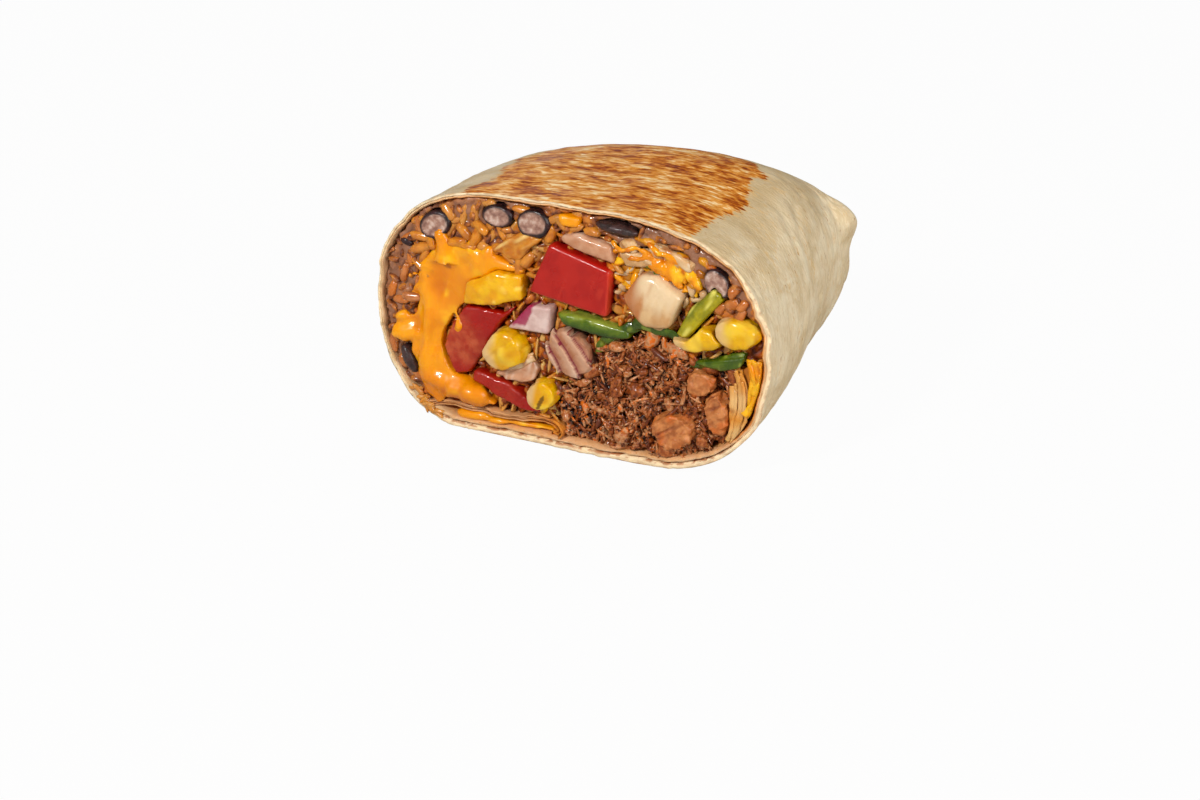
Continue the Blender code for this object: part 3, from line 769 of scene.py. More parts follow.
def wrinkles(flat, normal, along):
    """Folds and wrinkles of the dough: broad swells, and fine lines running round the roll."""
    plane = np.stack([along, flat[:, 1], flat[:, 2] * 0], axis=1)
    end = smooth_step(46, 62, flat[:, 1])
    side = smooth_step(0.2, 0.8, np.abs(normal[:, 0]))
    left = smooth_step(-20, -40, flat[:, 0])
    drift = plane + 2.5 * soft_noise(plane, 9.0, 38)[:, None] * (0, 1, 0)
    lift = 0.55 * soft_noise(flat, 17, 31) + 0.3 * soft_noise(flat, 7.5, 32)
    lift += (0.15 + 0.1 * end) * layered_noise(drift, (16, 1.7, 9), 33, 2)
    lift += (0.06 + 0.12 * left) * layered_noise(drift, (5.0, 1.0, 9), 35, 2)
    lift += end * 0.8 * soft_noise(flat, (5.5, 9, 12), 36)
    creases = np.abs(soft_noise(drift, (26, 3.6, 9), 37))
    lift -= 0.4 * side * (1 - smooth_step(0.0, 0.16, creases))
    return lift * smooth_step(0.0, 5.0, flat[:, 2])


def rim_rings(rim, inward, thickness, along):
    """Rings that step in over the cut edge of the wall, with a groove where two layers meet."""
    double = smooth_step(1.9, 2.6, thickness)
    left = smooth_step(-26, -42, rim[:, 0])
    line = np.stack([along, along * 0, along * 0], axis=1)
    wave = 0.45 * soft_noise(line, 5.0, 41) + 0.25 * soft_noise(line, 1.7, 42)
    profile = [
        (0.06, -0.25, 0), (0.16, -0.42, 0), (0.30, -0.46, 0), (0.42, -0.40, 0), (0.49, -0.1, 0.8),
        (0.53, 0.0, 1.2), (0.57, -0.1, 0.8), (0.66, -0.36, 0.1), (0.80, -0.38, 0.1), (0.92, -0.15, 0.1),
        (1.0, 0.4, 0.1),
    ]
    rings, stain, crumb, sear_and_shade = [], [], [], []
    for share, depth, groove in profile:
        ring = rim + inward * (thickness * share)[:, None]
        ring[:, 1] = depth + groove * double + wave + 0.22 * soft_noise(line + (0, 9 * share, 0), 0.9, 43)
        ring[:, 2] += 0.12 * soft_noise(line + (0, 9 * share, 5), 1.1, 46)
        ring[:, 2] = np.maximum(ring[:, 2], 0.02)
        rings.append(ring)
        stain.append(smooth_step(0.3, 0.9, share) * (1 - 0.3 * double) * (1 - 0.6 * left))
        crumb.append((1 - smooth_step(0.35, 0.8, share)) * (0.9 - 0.6 * smooth_step(46, 54, rim[:, 2])))
        # painted shade in the groove where two layers meet, in the sear colour; toasting speckle at the outer edge
        groove_shade = np.exp(-(((share - 0.5) / 0.12) ** 2))
        sear_and_shade.append(groove_shade * double + 0.45 * (1 - smooth_step(0.0, 0.3, share)))
    return rings, stain, crumb, sear_and_shade


def make_tortilla():
    count = len(OUTLINE)
    rows_between = 15
    fine = (len(SECTIONS) - 1) * rows_between + 1
    sections = curve_through(SECTIONS, fine)[::-1]
    outer = np.array([carried(OUTLINE, section) for section in sections])
    rows = len(outer)
    ahead = np.roll(outer, -1, axis=1) - np.roll(outer, 1, axis=1)
    normal = np.cross(ahead, np.gradient(outer, axis=0)).reshape(-1, 3)
    normal /= np.linalg.norm(normal, axis=1)[:, None] + 1e-9
    flat = outer.reshape(-1, 3)
    if np.einsum("ij,ij->i", normal, flat - np.array([FACE_MIDDLE_X, 30, 28])).mean() < 0:
        normal = -normal
    flat = flat + normal * wrinkles(flat, normal, np.tile(ROUND, rows))[:, None]
    flat[:, 2] = np.maximum(flat[:, 2], 0)
    rim = flat.reshape(rows, count, 3)[-1]
    inward = np.stack([-OUTWARD[:, 0], 0 * ROUND, -OUTWARD[:, 1]], axis=1)
    thickness = wall_thickness()
    rings, stain, crumb, sear_and_shade = rim_rings(rim, inward, thickness, ROUND)
    inner = OUTLINE - OUTWARD * (thickness + 0.4)[:, None]
    inner[:, 1] = np.maximum(inner[:, 1], 0.3)
    for depth in (4.0, 14.0, 30.0, 46.0, 53.0):
        rings.append(carried(inner, section_at(depth)))
        stain.append(np.ones(count))
        crumb.append(np.zeros(count))
        sear_and_shade.append(np.zeros(count))
    points = np.vstack([flat, *rings])
    faces = grid_faces(rows + len(rings), count)
    last = len(points) - count
    points = np.vstack([points, points[:count].mean(0), points[last:].mean(0)])
    hub, end_hub = len(points) - 2, len(points) - 1
    caps = [(hub, i, (i + 1) % count) for i in range(count)]
    caps += [(end_hub, last + (i + 1) % count, last + i) for i in range(count)]
    blank = np.zeros(rows * count)
    # painted shade on the tortilla's top, kept in the upper mark
    upper = 0.5 * smooth_step(44, 56, flat[:, 2])
    marks = {
        "upper": np.concatenate([upper, np.zeros(len(rings) * count + 2)]),
        "toast": np.concatenate([toast_mask(flat), np.zeros(len(rings) * count + 2)]),
        "stain": np.concatenate([blank, *stain, [0, 1]]),
        "crumb": np.concatenate([blank, *crumb, [0, 0]]),
        "sear_and_shade": np.concatenate([blank, *sear_and_shade, [0, 0]]),
    }
    show("tortilla_wrap", points, [faces, np.array(caps)], "tortilla", ("tortilla",), marks)


def make_flap():
    """The inner end of the tortilla, which runs in under the cheese and curls at its tip."""
    route = [
        (-40, 4.2), (-34, 5.6), (-26, 5.7), (-18, 5.4), (-12, 5.8), (-8, 6.0), (-5.2, 5.5), (-4.0, 4.3),
        (-4.9, 3.2), (-6.6, 3.2),
    ]
    path = curve_through(route, 90)
    along = np.gradient(path, axis=0)
    along /= np.linalg.norm(along, axis=1)[:, None]
    across = np.stack([-along[:, 1], along[:, 0]], axis=1)
    steps = np.linspace(0, 1, len(path))
    half = 0.5 + 0.28 * smooth_step(0.6, 0.85, steps) + 0.1 * np.sin(steps * 31)
    half[-1] = 0.3
    loop = np.vstack([path + across * half[:, None], (path - across * half[:, None])[::-1]])
    middle = np.vstack([path, path[::-1]])
    rings = []
    profile = ((0.1, 0.45), (-0.3, 0.85), (-0.4, 1.0), (0.4, 1.0), (2.0, 1.0), (6.0, 1.0), (16.0, 1.0))
    for depth, share in profile:
        ring = middle + (loop - middle) * share
        place = np.stack([loop[:, 0], loop[:, 0] * 0 + 3, loop[:, 1] * 0], axis=1)
        wave = (0.7 * soft_noise(place, 3.5, 44) + 0.3 * soft_noise(place, 1.2, 47)) if depth < 3 else 0
        rings.append(np.stack([ring[:, 0], np.full(len(ring), depth) + wave, ring[:, 1]], axis=1))
    points = np.vstack(rings)
    count = len(loop)
    faces = grid_faces(len(rings), count)[:, ::-1]
    caps = []
    for base, flip in ((0, False), (len(points) - count, True)):
        for i in range(len(path) - 1):
            quad = (base + i, base + i + 1, base + count - 2 - i, base + count - 1 - i)
            caps.append(quad[::-1] if flip else quad)
    points[:, 2] += 0.22 * layered_noise(points, 2.5, 45)
    edge = smooth_step(3.0, 0.5, points[:, 1])
    tip = smooth_step(-14, -7, points[:, 0])
    blank = points[:, 0] * 0
    marks = {
        "upper": blank,
        "toast": blank,
        "stain": 0.8 + 0.2 * tip,
        "crumb": 0.12 * edge * (1 - tip),
        "sear_and_shade": blank + 0.3,
    }
    show("tortilla_flap", points, [faces, np.array(caps)], "tortilla", (), marks)


# ---------------------------------------------------------------- the layers


def layer(name, node, finish, voxel, lift_of, extra=(), front=3.0, cuts=1, marks_of=None, smooth=2):
    """A filling layer: the node's shape made fine at the cut, with its own relief there."""
    points, normals, faces = refined(node, voxel, extra, smooth, front, cuts)
    lift = lift_of(points) * near_cut(points, front + 1.0)
    points = points + normals * lift[:, None]
    blank = np.zeros(len(points))
    # painted shade where the relief sinks
    marks = {"sunk_shade": shade_where_sunk(lift), "mark": blank, "tone": blank}
    if marks_of:
        marks.update(marks_of(points, normals, lift))
    show(name, points, faces, finish, (node,), marks)
    return points, normals


def flat_turns(rng, count, tilt=0.5):
    """Turns that leave a long shape lying about flat on the cut face, pointing any way on it."""
    roll = rng.uniform(0, math.tau, count)
    pointing = rng.uniform(0, math.pi, count)
    leaning = rng.uniform(-tilt, tilt, count)
    return np.stack([roll, pointing, leaning], axis=1)


def make_rice_and_beans():
    def relief(points):
        drift = 0.9 * np.stack([soft_noise(points, 2.5, 150 + k) for k in range(3)], axis=1)
        near, _, own = pebbles(points + drift, (3.2, 3.2, 2.4), 51)
        below = smooth_step(50, 46, points[:, 2] - 0.2 * points[:, 0])
        lumpy = 1.0 - 0.75 * smooth_step(8, 16, points[:, 0]) * below
        return lumpy * (0.9 * (0.45 - near) + 0.4 * (own - 0.6)) + 0.3 * layered_noise(points, 1.1, 52)

    def colours(points, normals, lift):
        left = smooth_step(-38, -43, points[:, 0])
        top = smooth_step(4, 12, points[:, 0]) * smooth_step(44, 50, points[:, 2] + 0.25 * points[:, 0])
        beans = 0.8 * smooth_step(46, 49.5, points[:, 2]) * smooth_step(-8, -14, points[:, 0])
        pink = 0.9 * np.maximum(np.maximum(left, top), beans)
        return {"mark": np.clip(pink + 0.5 * soft_noise(points, 3.5, 54), 0, 1)}

    points, normals = layer(
        "bean_paste_and_rice", "rice_and_beans", "rice_layer", 0.76, relief,
        marks_of=colours,
    )
    x, z = points[:, 0], points[:, 2]
    crowded = (x < 5) & (x > -39.5)
    corner = (x > 33) & (z < 47) & (z > 34)
    for name, keep, spacing, finish, seed, size in (
        ("rice_grains", crowded, 2.35, "rice", 55, (2.7, 1.2)),
        ("rice_at_left", x <= -39.5, 3.2, "pink_rice", 56, (2.2, 1.1)),
        ("rice_at_right", corner, 2.2, "pink_rice", 57, (2.0, 1.25)),
    ):
        rng = np.random.default_rng(seed)
        chosen = scattered(points, normals, spacing, seed + 10, keep)
        count = len(chosen)
        places = points[chosen] + rng.uniform(-0.7, 0.9, (count, 1)) * (0, 1, 0)
        sizes = rng.uniform(0.75, 1.15, (count, 3)) * (size[0], size[1], size[1])
        turns = flat_turns(rng, count, 0.45)
        bits(name, template_grain(), places, sizes, turns, finish, seed, 0.12, bend=0.25)
    rng = np.random.default_rng(58)
    chosen = scattered(points, normals, 2.3, 59, (x < 7) | (x > 33) | (inside_by(points) < 4))
    count = len(chosen)
    sizes = rng.uniform(0.6, 1.6, (count, 3)) * (1.3, 0.6, 0.7)
    bits("paste_lumps", template_ball(2), points[chosen], sizes, flat_turns(rng, count), "rice_layer",
         60, 0.45, bend=0.3)


def merged(name, shapes, voxel, finish, lift_of, marks_of):
    """Closed shapes melted into one mesh, with its own relief and marks."""
    points, normals, faces = refined(None, voxel, shapes, 2)
    points = points + normals * lift_of(points)[:, None]
    marks = {"tone": np.zeros(len(points)), "mark": np.zeros(len(points)), "sunk_shade": np.zeros(len(points))}
    marks.update(marks_of(points))
    show(name, points, faces, finish, (), marks)


def make_melted_corner():
    """Melted cheese, onion bits and sauce that lie over the bean paste at the upper right."""
    cheese = [
        drip(path, radii)
        for path, radii in (
            ([(14.5, 1.2, 49.8), (18.2, 0.4, 48.6), (21.6, 0.3, 47.6), (25.4, 0.8, 45.6)], [0.9, 1.5, 1.9, 1.2]),
            ([(21.0, 1.2, 50.6), (22.6, 0.2, 48.6), (23.2, 0.2, 46.0), (24.8, 0.6, 43.6)], [1.0, 1.6, 1.4, 0.7]),
            ([(24.4, 1.2, 48.8), (27.6, 0.4, 46.6), (29.4, 0.5, 44.0)], [1.1, 1.5, 0.8]),
            ([(8.0, 1.2, 46.4), (10.2, 0.6, 47.6), (12.6, 0.8, 48.6)], [0.7, 1.1, 0.8]),
        )
    ]
    cheese.append(ball((20.8, 0.6, 45.0), (1.5, 1.3, 1.3)))
    cheese += [
        drip(path, radii)
        for path, radii in (
            ([(8.5, 0.2, 52.0), (11.5, -0.9, 50.6), (14.5, -0.6, 51.6), (18, -0.4, 50.2)], [0.45, 0.65, 0.55, 0.7]),
            ([(17, 0.3, 53), (19.6, -0.9, 51.6), (22.4, -0.6, 50.8), (25.4, -0.2, 49)], [0.45, 0.7, 0.6, 0.7]),
            ([(12.0, 0.0, 49.0), (15.0, -0.7, 49.2), (18.4, -0.6, 50.4)], [0.6, 0.7, 0.5]),
        )
    ]
    onion = [
        drip([(10.2, 1.2, 51.0), (12.6, 0.4, 51.6), (14.6, 0.4, 50.6)], [1.1, 1.6, 1.1]),
        drip([(17.6, 1.0, 51.8), (19.4, 0.4, 51.2), (21.2, 0.5, 50.2)], [0.9, 1.5, 0.9]),
        drip([(26.2, 1.0, 49.2), (27.8, 0.3, 48.8)], [1.2, 1.3]),
        ball((31.4, 0.8, 46.4), (1.5, 1.2, 1.5)),
        ball((7.4, 1.0, 50.4), (1.5, 1.2, 1.1)),
        ball((33.6, 0.9, 43.0), (1.3, 1.2, 1.5)),
    ]
    sauce = [
        ball((24.6, 0.9, 50.6), (2.2, 1.3, 0.9), -15), ball((29.4, 0.9, 47.6), (1.6, 1.3, 1.0), -35),
        ball((30.8, 0.9, 50.0), (2.6, 1.2, 0.9), -30), ball((16.4, 1.0, 53.0), (3.0, 1.2, 0.9), -8),
        ball((11.6, 1.0, 49.0), (2.2, 1.2, 0.8), 20), ball((34.2, 0.9, 46.6), (1.5, 1.2, 1.2)),
    ]

    def lumpy(points):
        return 0.6 * layered_noise(points, 1.5, 171)

    def cheese_marks(points):
        return {"tone": spots(points, 2, 172, 0.1, 0.7), "mark": spots(points, 1.6, 173, 0.1, 0.8)}

    def onion_marks(points):
        return {"tone": spots(points, 2, 174, -0.3, 0.5), "mark": 0.7 * spots(points, 1.6, 175, 0.2, 0.8)}

    def sauce_marks(points):
        return {"mark": spots(points, 2, 176, -0.2, 0.6)}

    merged("corner_cheese", cheese, 0.3, "cheese", lumpy, cheese_marks)
    merged("corner_onion", onion, 0.3, "onion", lumpy, onion_marks)
    merged("corner_sauce", sauce, 0.3, "vegetable_layer", lumpy, sauce_marks)


def make_small_shreds():
    """A peach-coloured onion shred across the corn, and a dark bit of bean skin at the upper left."""
    def grain(points):
        return run_along(points, 35, 0.7, 5, 177)

    def shred_relief(points):
        return 0.35 * grain(points) + 0.2 * soft_noise(points, 1.2, 178)

    # tone: painted light on the ridges of the grain that the relief raises
    def shred_marks(points):
        return {"tone": smooth_step(0.0, 0.6, grain(points)), "mark": 0.6 * spots(points, 1.6, 179, 0.0, 0.6)}

    def skin_relief(points):
        return 0.3 * soft_noise(points, 1.2, 180)

    def all_skin(points):
        return {"mark": np.ones(len(points))}

    shred = [drip([(-20.0, 0.4, 15.2), (-15.0, -0.5, 18.6), (-10.4, -0.2, 21.4)], [0.7, 1.3, 1.1], 0.5)]
    skin = [ball((-43.2, 0.5, 43.6), (1.7, 1.0, 0.9), -20)]
    merged("onion_shred_front", shred, 0.26, "onion", shred_relief, shred_marks)
    merged("bean_skin_bit", skin, 0.26, "black_bean", skin_relief, all_skin)


def make_leak():
    """Rice and sauce that come out where the tortilla's outer end stops at the lower left."""
    rng = np.random.default_rng(61)
    line = curve_through([(-41.8, -0.2, 7.6), (-40.0, -0.4, 5.6), (-38.0, -0.6, 3.9), (-36.0, -0.4, 2.6)], 9)
    places = line + rng.uniform(-0.5, 0.5, line.shape) * (1, 0.5, 1)
    sizes = rng.uniform(0.8, 1.2, (len(places), 3)) * (1.6, 0.65, 0.65)
    turns = flat_turns(rng, len(places), 0.4)
    bits("leaking_rice", template_grain(), places, sizes, turns, "rice", 62, 0.25,
         margin=None)


def make_cheese():
    """The melted cheese, with lobes, torn points and drips added at its edges."""
    drips = (
        ([(-41, 0.2, 22.5), (-44.5, 0, 21.6), (-47.0, -0.3, 20.9)], [2.6, 2.2, 1.1]),
        ([(-41, 0.6, 24.4), (-44.6, -0.2, 25.4), (-46.4, -0.2, 24.6)], [1.6, 1.3, 0.7]),
        ([(-33, 0.6, 41), (-33.2, 0.1, 43.6), (-33.8, -0.1, 45.6), (-34.2, -0.3, 47.6)], [4.2, 2.4, 1.5, 0.7]),
        ([(-36, 0.2, 38), (-39.6, -0.3, 39.0), (-42.4, -0.3, 38.4)], [1.6, 0.7, 0.2]),
        ([(-37, 0.2, 35), (-40.4, -0.3, 36.4), (-42.6, -0.2, 35.6)], [1.6, 0.7, 0.25]),
        ([(-38, 0.2, 34), (-40.6, -0.3, 33.0), (-42.2, -0.2, 31.2)], [1.8, 1.4, 0.6]),
        ([(-24, 0.4, 42), (-22.4, -0.3, 44), (-21.4, -0.2, 45.6)], [1.8, 1.2, 0.5]),
        ([(-27, 0.4, 42), (-26.2, -0.3, 44.5), (-26.8, -0.2, 46.4)], [1.4, 0.9, 0.4]),
        ([(-31, 0.6, 24), (-29.8, -0.4, 25.6), (-30.2, -0.5, 28.4)], [1.2, 0.9, 0.5]),
        ([(-37, 0.2, 12), (-32, -0.4, 9.6), (-26.5, -0.6, 9.2), (-22.6, 0, 8.6)], [2.2, 2.8, 2.9, 1.4]),
        ([(-39.5, 0.6, 40), (-37.4, -0.3, 30), (-38.4, -0.3, 20), (-38.0, -0.2, 11)], [1.4, 1.9, 1.7, 1.9]),
    )
    extra = [drip(path, radii) for path, radii in drips]
    extra += [ball((-36.5, 1.2, 9.6), (3.6, 2.2, 4.2), 20), ball((-28.6, 0.9, 9.6), (4.8, 2.6, 3.4), -8)]

    def relief(points):
        ragged = layered_noise(points, 1.5, 63, 2) * smooth_step(0.1, 0.6, soft_noise(points, 7, 64))
        folds = run_along(points, 75, 1.4, 7, 66)
        swells = 0.7 * soft_noise(points, 8, 61) + 0.45 * soft_noise(points, 3.4, 62)
        return swells + 0.45 * ragged + 0.3 * folds

    def colours(points, normals, lift):
        # mark: painted shade in the hollows of the relief, and darker towards the bottom
        shaded_and_low = smooth_step(-0.2, -0.9, lift) * 0.8 + 0.5 * smooth_step(16, 8, points[:, 2])
        lighter = 0.8 * smooth_step(0.1, 0.7, layered_noise(points, 3.0, 65))
        return {"sunk_shade": np.zeros(len(points)), "tone": lighter, "mark": np.clip(shaded_and_low, 0, 1)}

    layer("melted_cheese", "cheese_sauce", "cheese", 0.7, relief, extra, 4.0, 1, colours, 3)


def make_meat():
    def relief(points):
        coarse, _ = torn(points, 4.6, 71)
        fine, _ = torn(points, 1.9, 75)
        # a pushed-in gap at the right, coloured below as painted shade
        gap = np.exp(-(((points[:, 0] - 34.5) / 3.0) ** 2) - ((points[:, 2] - 22.5) / 4.0) ** 2)
        return 1.6 * coarse + 1.0 * fine + 0.7 * soft_noise(points, 9, 79) - 2.2 * gap

    def colours(points, normals, lift):
        _, coarse = torn(points, 4.6, 71)
        fine_lift, fine = torn(points, 1.9, 75)
        # tone: each chunk's own tone plus painted light on the raised fine bits; sunk_shade: painted shade where
        # the relief sinks and in the gap
        tone = 0.15 + 0.4 * coarse + 0.45 * fine + 0.25 * fine_lift
        deep = smooth_step(-0.1, -1.2, lift) + 0.7 * smooth_step(-0.2, -0.8, fine_lift)
        return {"tone": tone, "sunk_shade": np.clip(deep, 0, 1)}

    points, normals = layer(
        "meat_bed", "ground_meat", "meat_layer", 0.8, relief, cuts=2, front=2.5, smooth=1,
        marks_of=colours,
    )
    for name, template, spacing, size, seed, wobble in (
        ("meat_crumbs", template_ball(2), 1.6, (0.8, 0.4, 0.45), 72, 0.6),
        ("meat_lumps", template_ball(2), 4.2, (1.7, 0.9, 1.1), 82, 0.6),
        ("meat_fibres", template_grain(9, 6), 1.1, (1.2, 0.23, 0.27), 92, 0.4),
    ):
        rng = np.random.default_rng(seed)
        chosen = scattered(points, normals, spacing, seed + 1)
        count = len(chosen)
        places = points[chosen] + normals[chosen] * rng.uniform(-0.3, 0.35, (count, 1))
        sizes = rng.lognormal(0, 0.3, (count, 1)) * rng.uniform(0.7, 1.3, (count, 3)) * size
        turns = flat_turns(rng, count, 0.6)
        tones = rng.beta(1.6, 1.8, count)
        bits(name, template, places, sizes, turns, "meat_layer", seed + 2, wobble, tones,
             margin=1.9, bend=0.4)


def make_vegetable_mix():
    def relief(points):
        drift = 0.9 * np.stack([soft_noise(points, 2.5, 180 + k) for k in range(3)], axis=1)
        near, _, own = pebbles(points + drift, (2.8, 2.8, 2.2), 81)
        return 1.0 * (0.5 - near) + 0.45 * layered_noise(points, 1.2, 84) + 0.7 * (own - 0.5)

    def colours(points, normals, lift):
        right_top = smooth_step(8, 14, points[:, 0]) * smooth_step(38, 43, points[:, 2])
        return {"mark": np.clip(0.85 * right_top + 0.6 * spots(points, 4, 85, 0.2, 0.7), 0, 1)}

    points, normals = layer(
        "vegetable_sauce", "vegetable_mix", "vegetable_layer", 0.8, relief, marks_of=colours,
    )
    x, z = points[:, 0], points[:, 2]
    pale = (x > 9) & (z > 40)
    for name, template, keep, finish, slot, spacing, size, seed in (
        ("sauce_bits", template_ball(2), ~pale, "vegetable_layer", "vegetable_mix", 2.1, (1.5, 0.7, 0.8), 86),
        ("sauce_shreds", template_grain(), ~pale, "onion_cooked", "vegetable_mix", 2.4, (2.2, 0.5, 0.7), 87),
        ("pale_bits", template_ball(2), pale, "onion", "onion", 2.0, (1.5, 0.8, 0.9), 88),
        ("melted_bits", template_ball(2), pale, "cheese", "melted_cheese", 2.2, (1.6, 0.9, 0.8), 89),
    ):
        rng = np.random.default_rng(seed)
        chosen = scattered(points, normals, spacing, seed + 10, keep)
        count = len(chosen)
        places = points[chosen] + rng.uniform(-0.6, 0.4, (count, 1)) * (0, 1, 0)
        sizes = rng.uniform(0.6, 1.3, (count, 3)) * size
        bits(name, template, places, sizes, flat_turns(rng, count), finish, seed, 0.4, bend=0.4)


def make_strip():
    """The strip of shredded cheese and onion down the right side."""
    def relief(points):
        return 0.5 * run_along(points, 80, 0.8, 7, 91) + 0.3 * soft_noise(points, 4, 92)

    def colours(points, normals, lift):
        # painted light on the raised parts of the strip (tone) and painted shade in its low furrows (mark)
        return {"tone": 0.5 * smooth_step(0.1, 0.5, lift), "mark": smooth_step(0.1, -0.5, lift)}

    layer(
        "shredded_strip", "cheese_and_onion_strip", "shredded", 0.5, relief,
        marks_of=colours,
    )
    rng = np.random.default_rng(94)
    for name, finish, slot, count, top, foot, radius in (
        ("pale_strands", "shredded", "onion", 18, (38.0, 28.2), (37.6, 9.6), 0.55),
        ("cheese_strands", "cheese", "melted_cheese", 12, (42.6, 30.5), (41.4, 17.0), 0.8),
    ):
        make_strands(name, finish, count, np.array(top), np.array(foot), radius, rng)


def strand_path(top, foot, rng):
    """A route down part of the strip from top to foot, bulging to the right as the wall does."""
    stops = (0, 0.35, 0.7, 1)
    lean = rng.uniform(-1.7, 1.7)
    length = rng.uniform(0.45, 1.0)
    begin = rng.uniform(0, 1 - length)
    ends = [top + (lean, 0), foot + (lean * 0.8, 0)]
    spots_along = [ends[0] + (ends[1] - ends[0]) * (begin + length * t) for t in stops]
    bulge = 1.7 * np.sin(np.pi * np.array([begin + length * t for t in stops]))
    wobble = rng.uniform(-0.5, 0.5, len(stops))
    depth = rng.uniform(-0.7, 0.5) + rng.uniform(-0.4, 0.4, len(stops))
    return [(p[0] + b + w, d, p[1]) for p, b, w, d in zip(spots_along, bulge, wobble, depth)]


def make_strands(name, finish, count, top, foot, radius, rng):
    """Joined strands from top to foot, kept clear of the wall."""
    groups, faces, start = [], [], 0
    for _ in range(count):
        path = strand_path(top, foot, rng)
        points, parts = drip(path, radius * rng.uniform(0.6, 1.2, 4), 0.6, 28)
        points += 0.2 * np.stack([soft_noise(points + start, 1.2, 95 + k) for k in range(3)], axis=1)
        groups.append(points)
        faces.append([part + start for part in parts])
        start += len(points)
    points = np.vstack(groups)
    points[:, 0] -= np.maximum(0, 2.1 - inside_by(points))
    tones = np.clip(0.5 + soft_noise(points, 4, 98), 0, 1)
    marks = {"tone": tones, "mark": spots(points, 2, 99, 0.3, 0.8) * 0.6}
    show(name, points, joined(faces), finish, (), marks)


def joined(faces):
    """The quads of several tubes as one array, and their caps as another."""
    return [np.vstack([part[k] for part in faces]) for k in (0, 1)]


def make_cheese_in_fold():
    def relief(points):
        return 0.3 * soft_noise(points, 3, 93)

    def colours(points, normals, lift):
        return {"sunk_shade": np.zeros(len(points)), "tone": np.clip(soft_noise(points, 2, 94), 0, 1)}

    swells = [ball((-27, 0.8, 3.7), (4.5, 1.6, 1.3), 4), ball((-20.5, 0.8, 3.5), (3.5, 1.6, 1.0))]
    layer(
        "cheese_in_fold", "cheese_under_flap", "cheese", 0.55, relief, swells,
        marks_of=colours,
    )


# ---------------------------------------------------------------- single pieces


def piece(node, finish, voxel, smooth, lift_of, marks_of=None, extra=(), dome=0.0, squeeze=None):
    """A piece of filling from its node, softened, with its own relief, marks and raised middle.

    squeeze is a height and how far the piece shrinks towards it.
    """
    points, normals, faces = refined(node, voxel, extra, smooth)
    if squeeze:
        height, amount = squeeze
        points[:, 2] = height + (points[:, 2] - height) * amount
    lift = lift_of(points, normals)
    points = points + normals * lift[:, None]
    if dome:
        away = (own_axes(points) ** 2).sum(1)
        points[:, 1] -= dome * np.clip(1 - away, 0, 1) * (1 - smooth_step(0, 4, points[:, 1]))
    marks = {"mark": np.zeros(len(points)), "tone": np.zeros(len(points))}
    if marks_of is not None:
        marks.update(marks_of(points, normals, lift))
    show(node + "_piece", points, faces, finish, (node,), marks)


def waves(amount, cell, seed):
    """Relief in soft random waves."""
    def lift_of(points, normals):
        return amount * layered_noise(points, cell, seed)
    return lift_of


def ribbed(amount, degrees, across, along, seed):
    """Relief like the grain of an onion or a strand, running at an angle on the face."""
    def lift_of(points, normals):
        return amount * run_along(points, degrees, across, along, seed)
    return lift_of


def marked(tone=None, mark=None):
    """Marks from a field for the piece's light tone and one for its mark colour."""
    def made(points, normals, lift):
        found = {}
        if tone:
            found["tone"] = np.clip(tone(points), 0, 1)
        if mark:
            found["mark"] = np.clip(mark(points), 0, 1)
        return found
    return made


def make_tomatoes():
    def lit_edge_and_fibres(points, normals, lift):
        # painted light: lighter red on the edges that face right and down, plus fibre streaks in the flesh
        edge = smooth_step(-0.97, -0.75, normals[:, 1]) * (1 - smooth_step(-0.5, 1.0, points[:, 1]))
        low_right = smooth_step(-0.1, 0.5, normals[:, 0] - normals[:, 2])
        fibre = smooth_step(0.5, 0.9, run_along(points, 70, 0.9, 5, 101)) * 0.35
        return {"mark": np.clip(edge * low_right * 0.9 + fibre, 0, 1)}

    def veins(points, normals, lift):
        deep = smooth_step(-0.3, 0.45, own_axes(points)[:, 0] + 0.5 * layered_noise(points, 3.5, 103))
        low = smooth_step(19, 15, points[:, 2])
        return {"mark": np.clip(np.maximum(deep, 0.85 * low), 0, 1)}

    piece("tomato_large", "tomato", 0.4, 2, waves(0.12, 3.5, 102), lit_edge_and_fibres)
    for node, seed in (("tomato_left", 104), ("tomato_lower", 105)):
        def flesh(points, normals, seed=seed):
            return 0.3 * layered_noise(points, 2.6, seed) + 0.12 * soft_noise(points, 0.8, seed + 9)

        piece(node, "tomato_soft", 0.4, 2, flesh, veins)


def petal_share(points):
    """How far across its own petal each point of the layered onion lies, 0 to 1."""
    turn = math.radians(18)
    along = (points[:, 0] * math.cos(turn) + points[:, 2] * math.sin(turn) + 1.6) / 4.2
    along = along + 0.16 * ((points[:, 2] - 20) / 4) ** 2 + 0.12 * soft_noise(points, 3, 111)
    return along - np.floor(along)


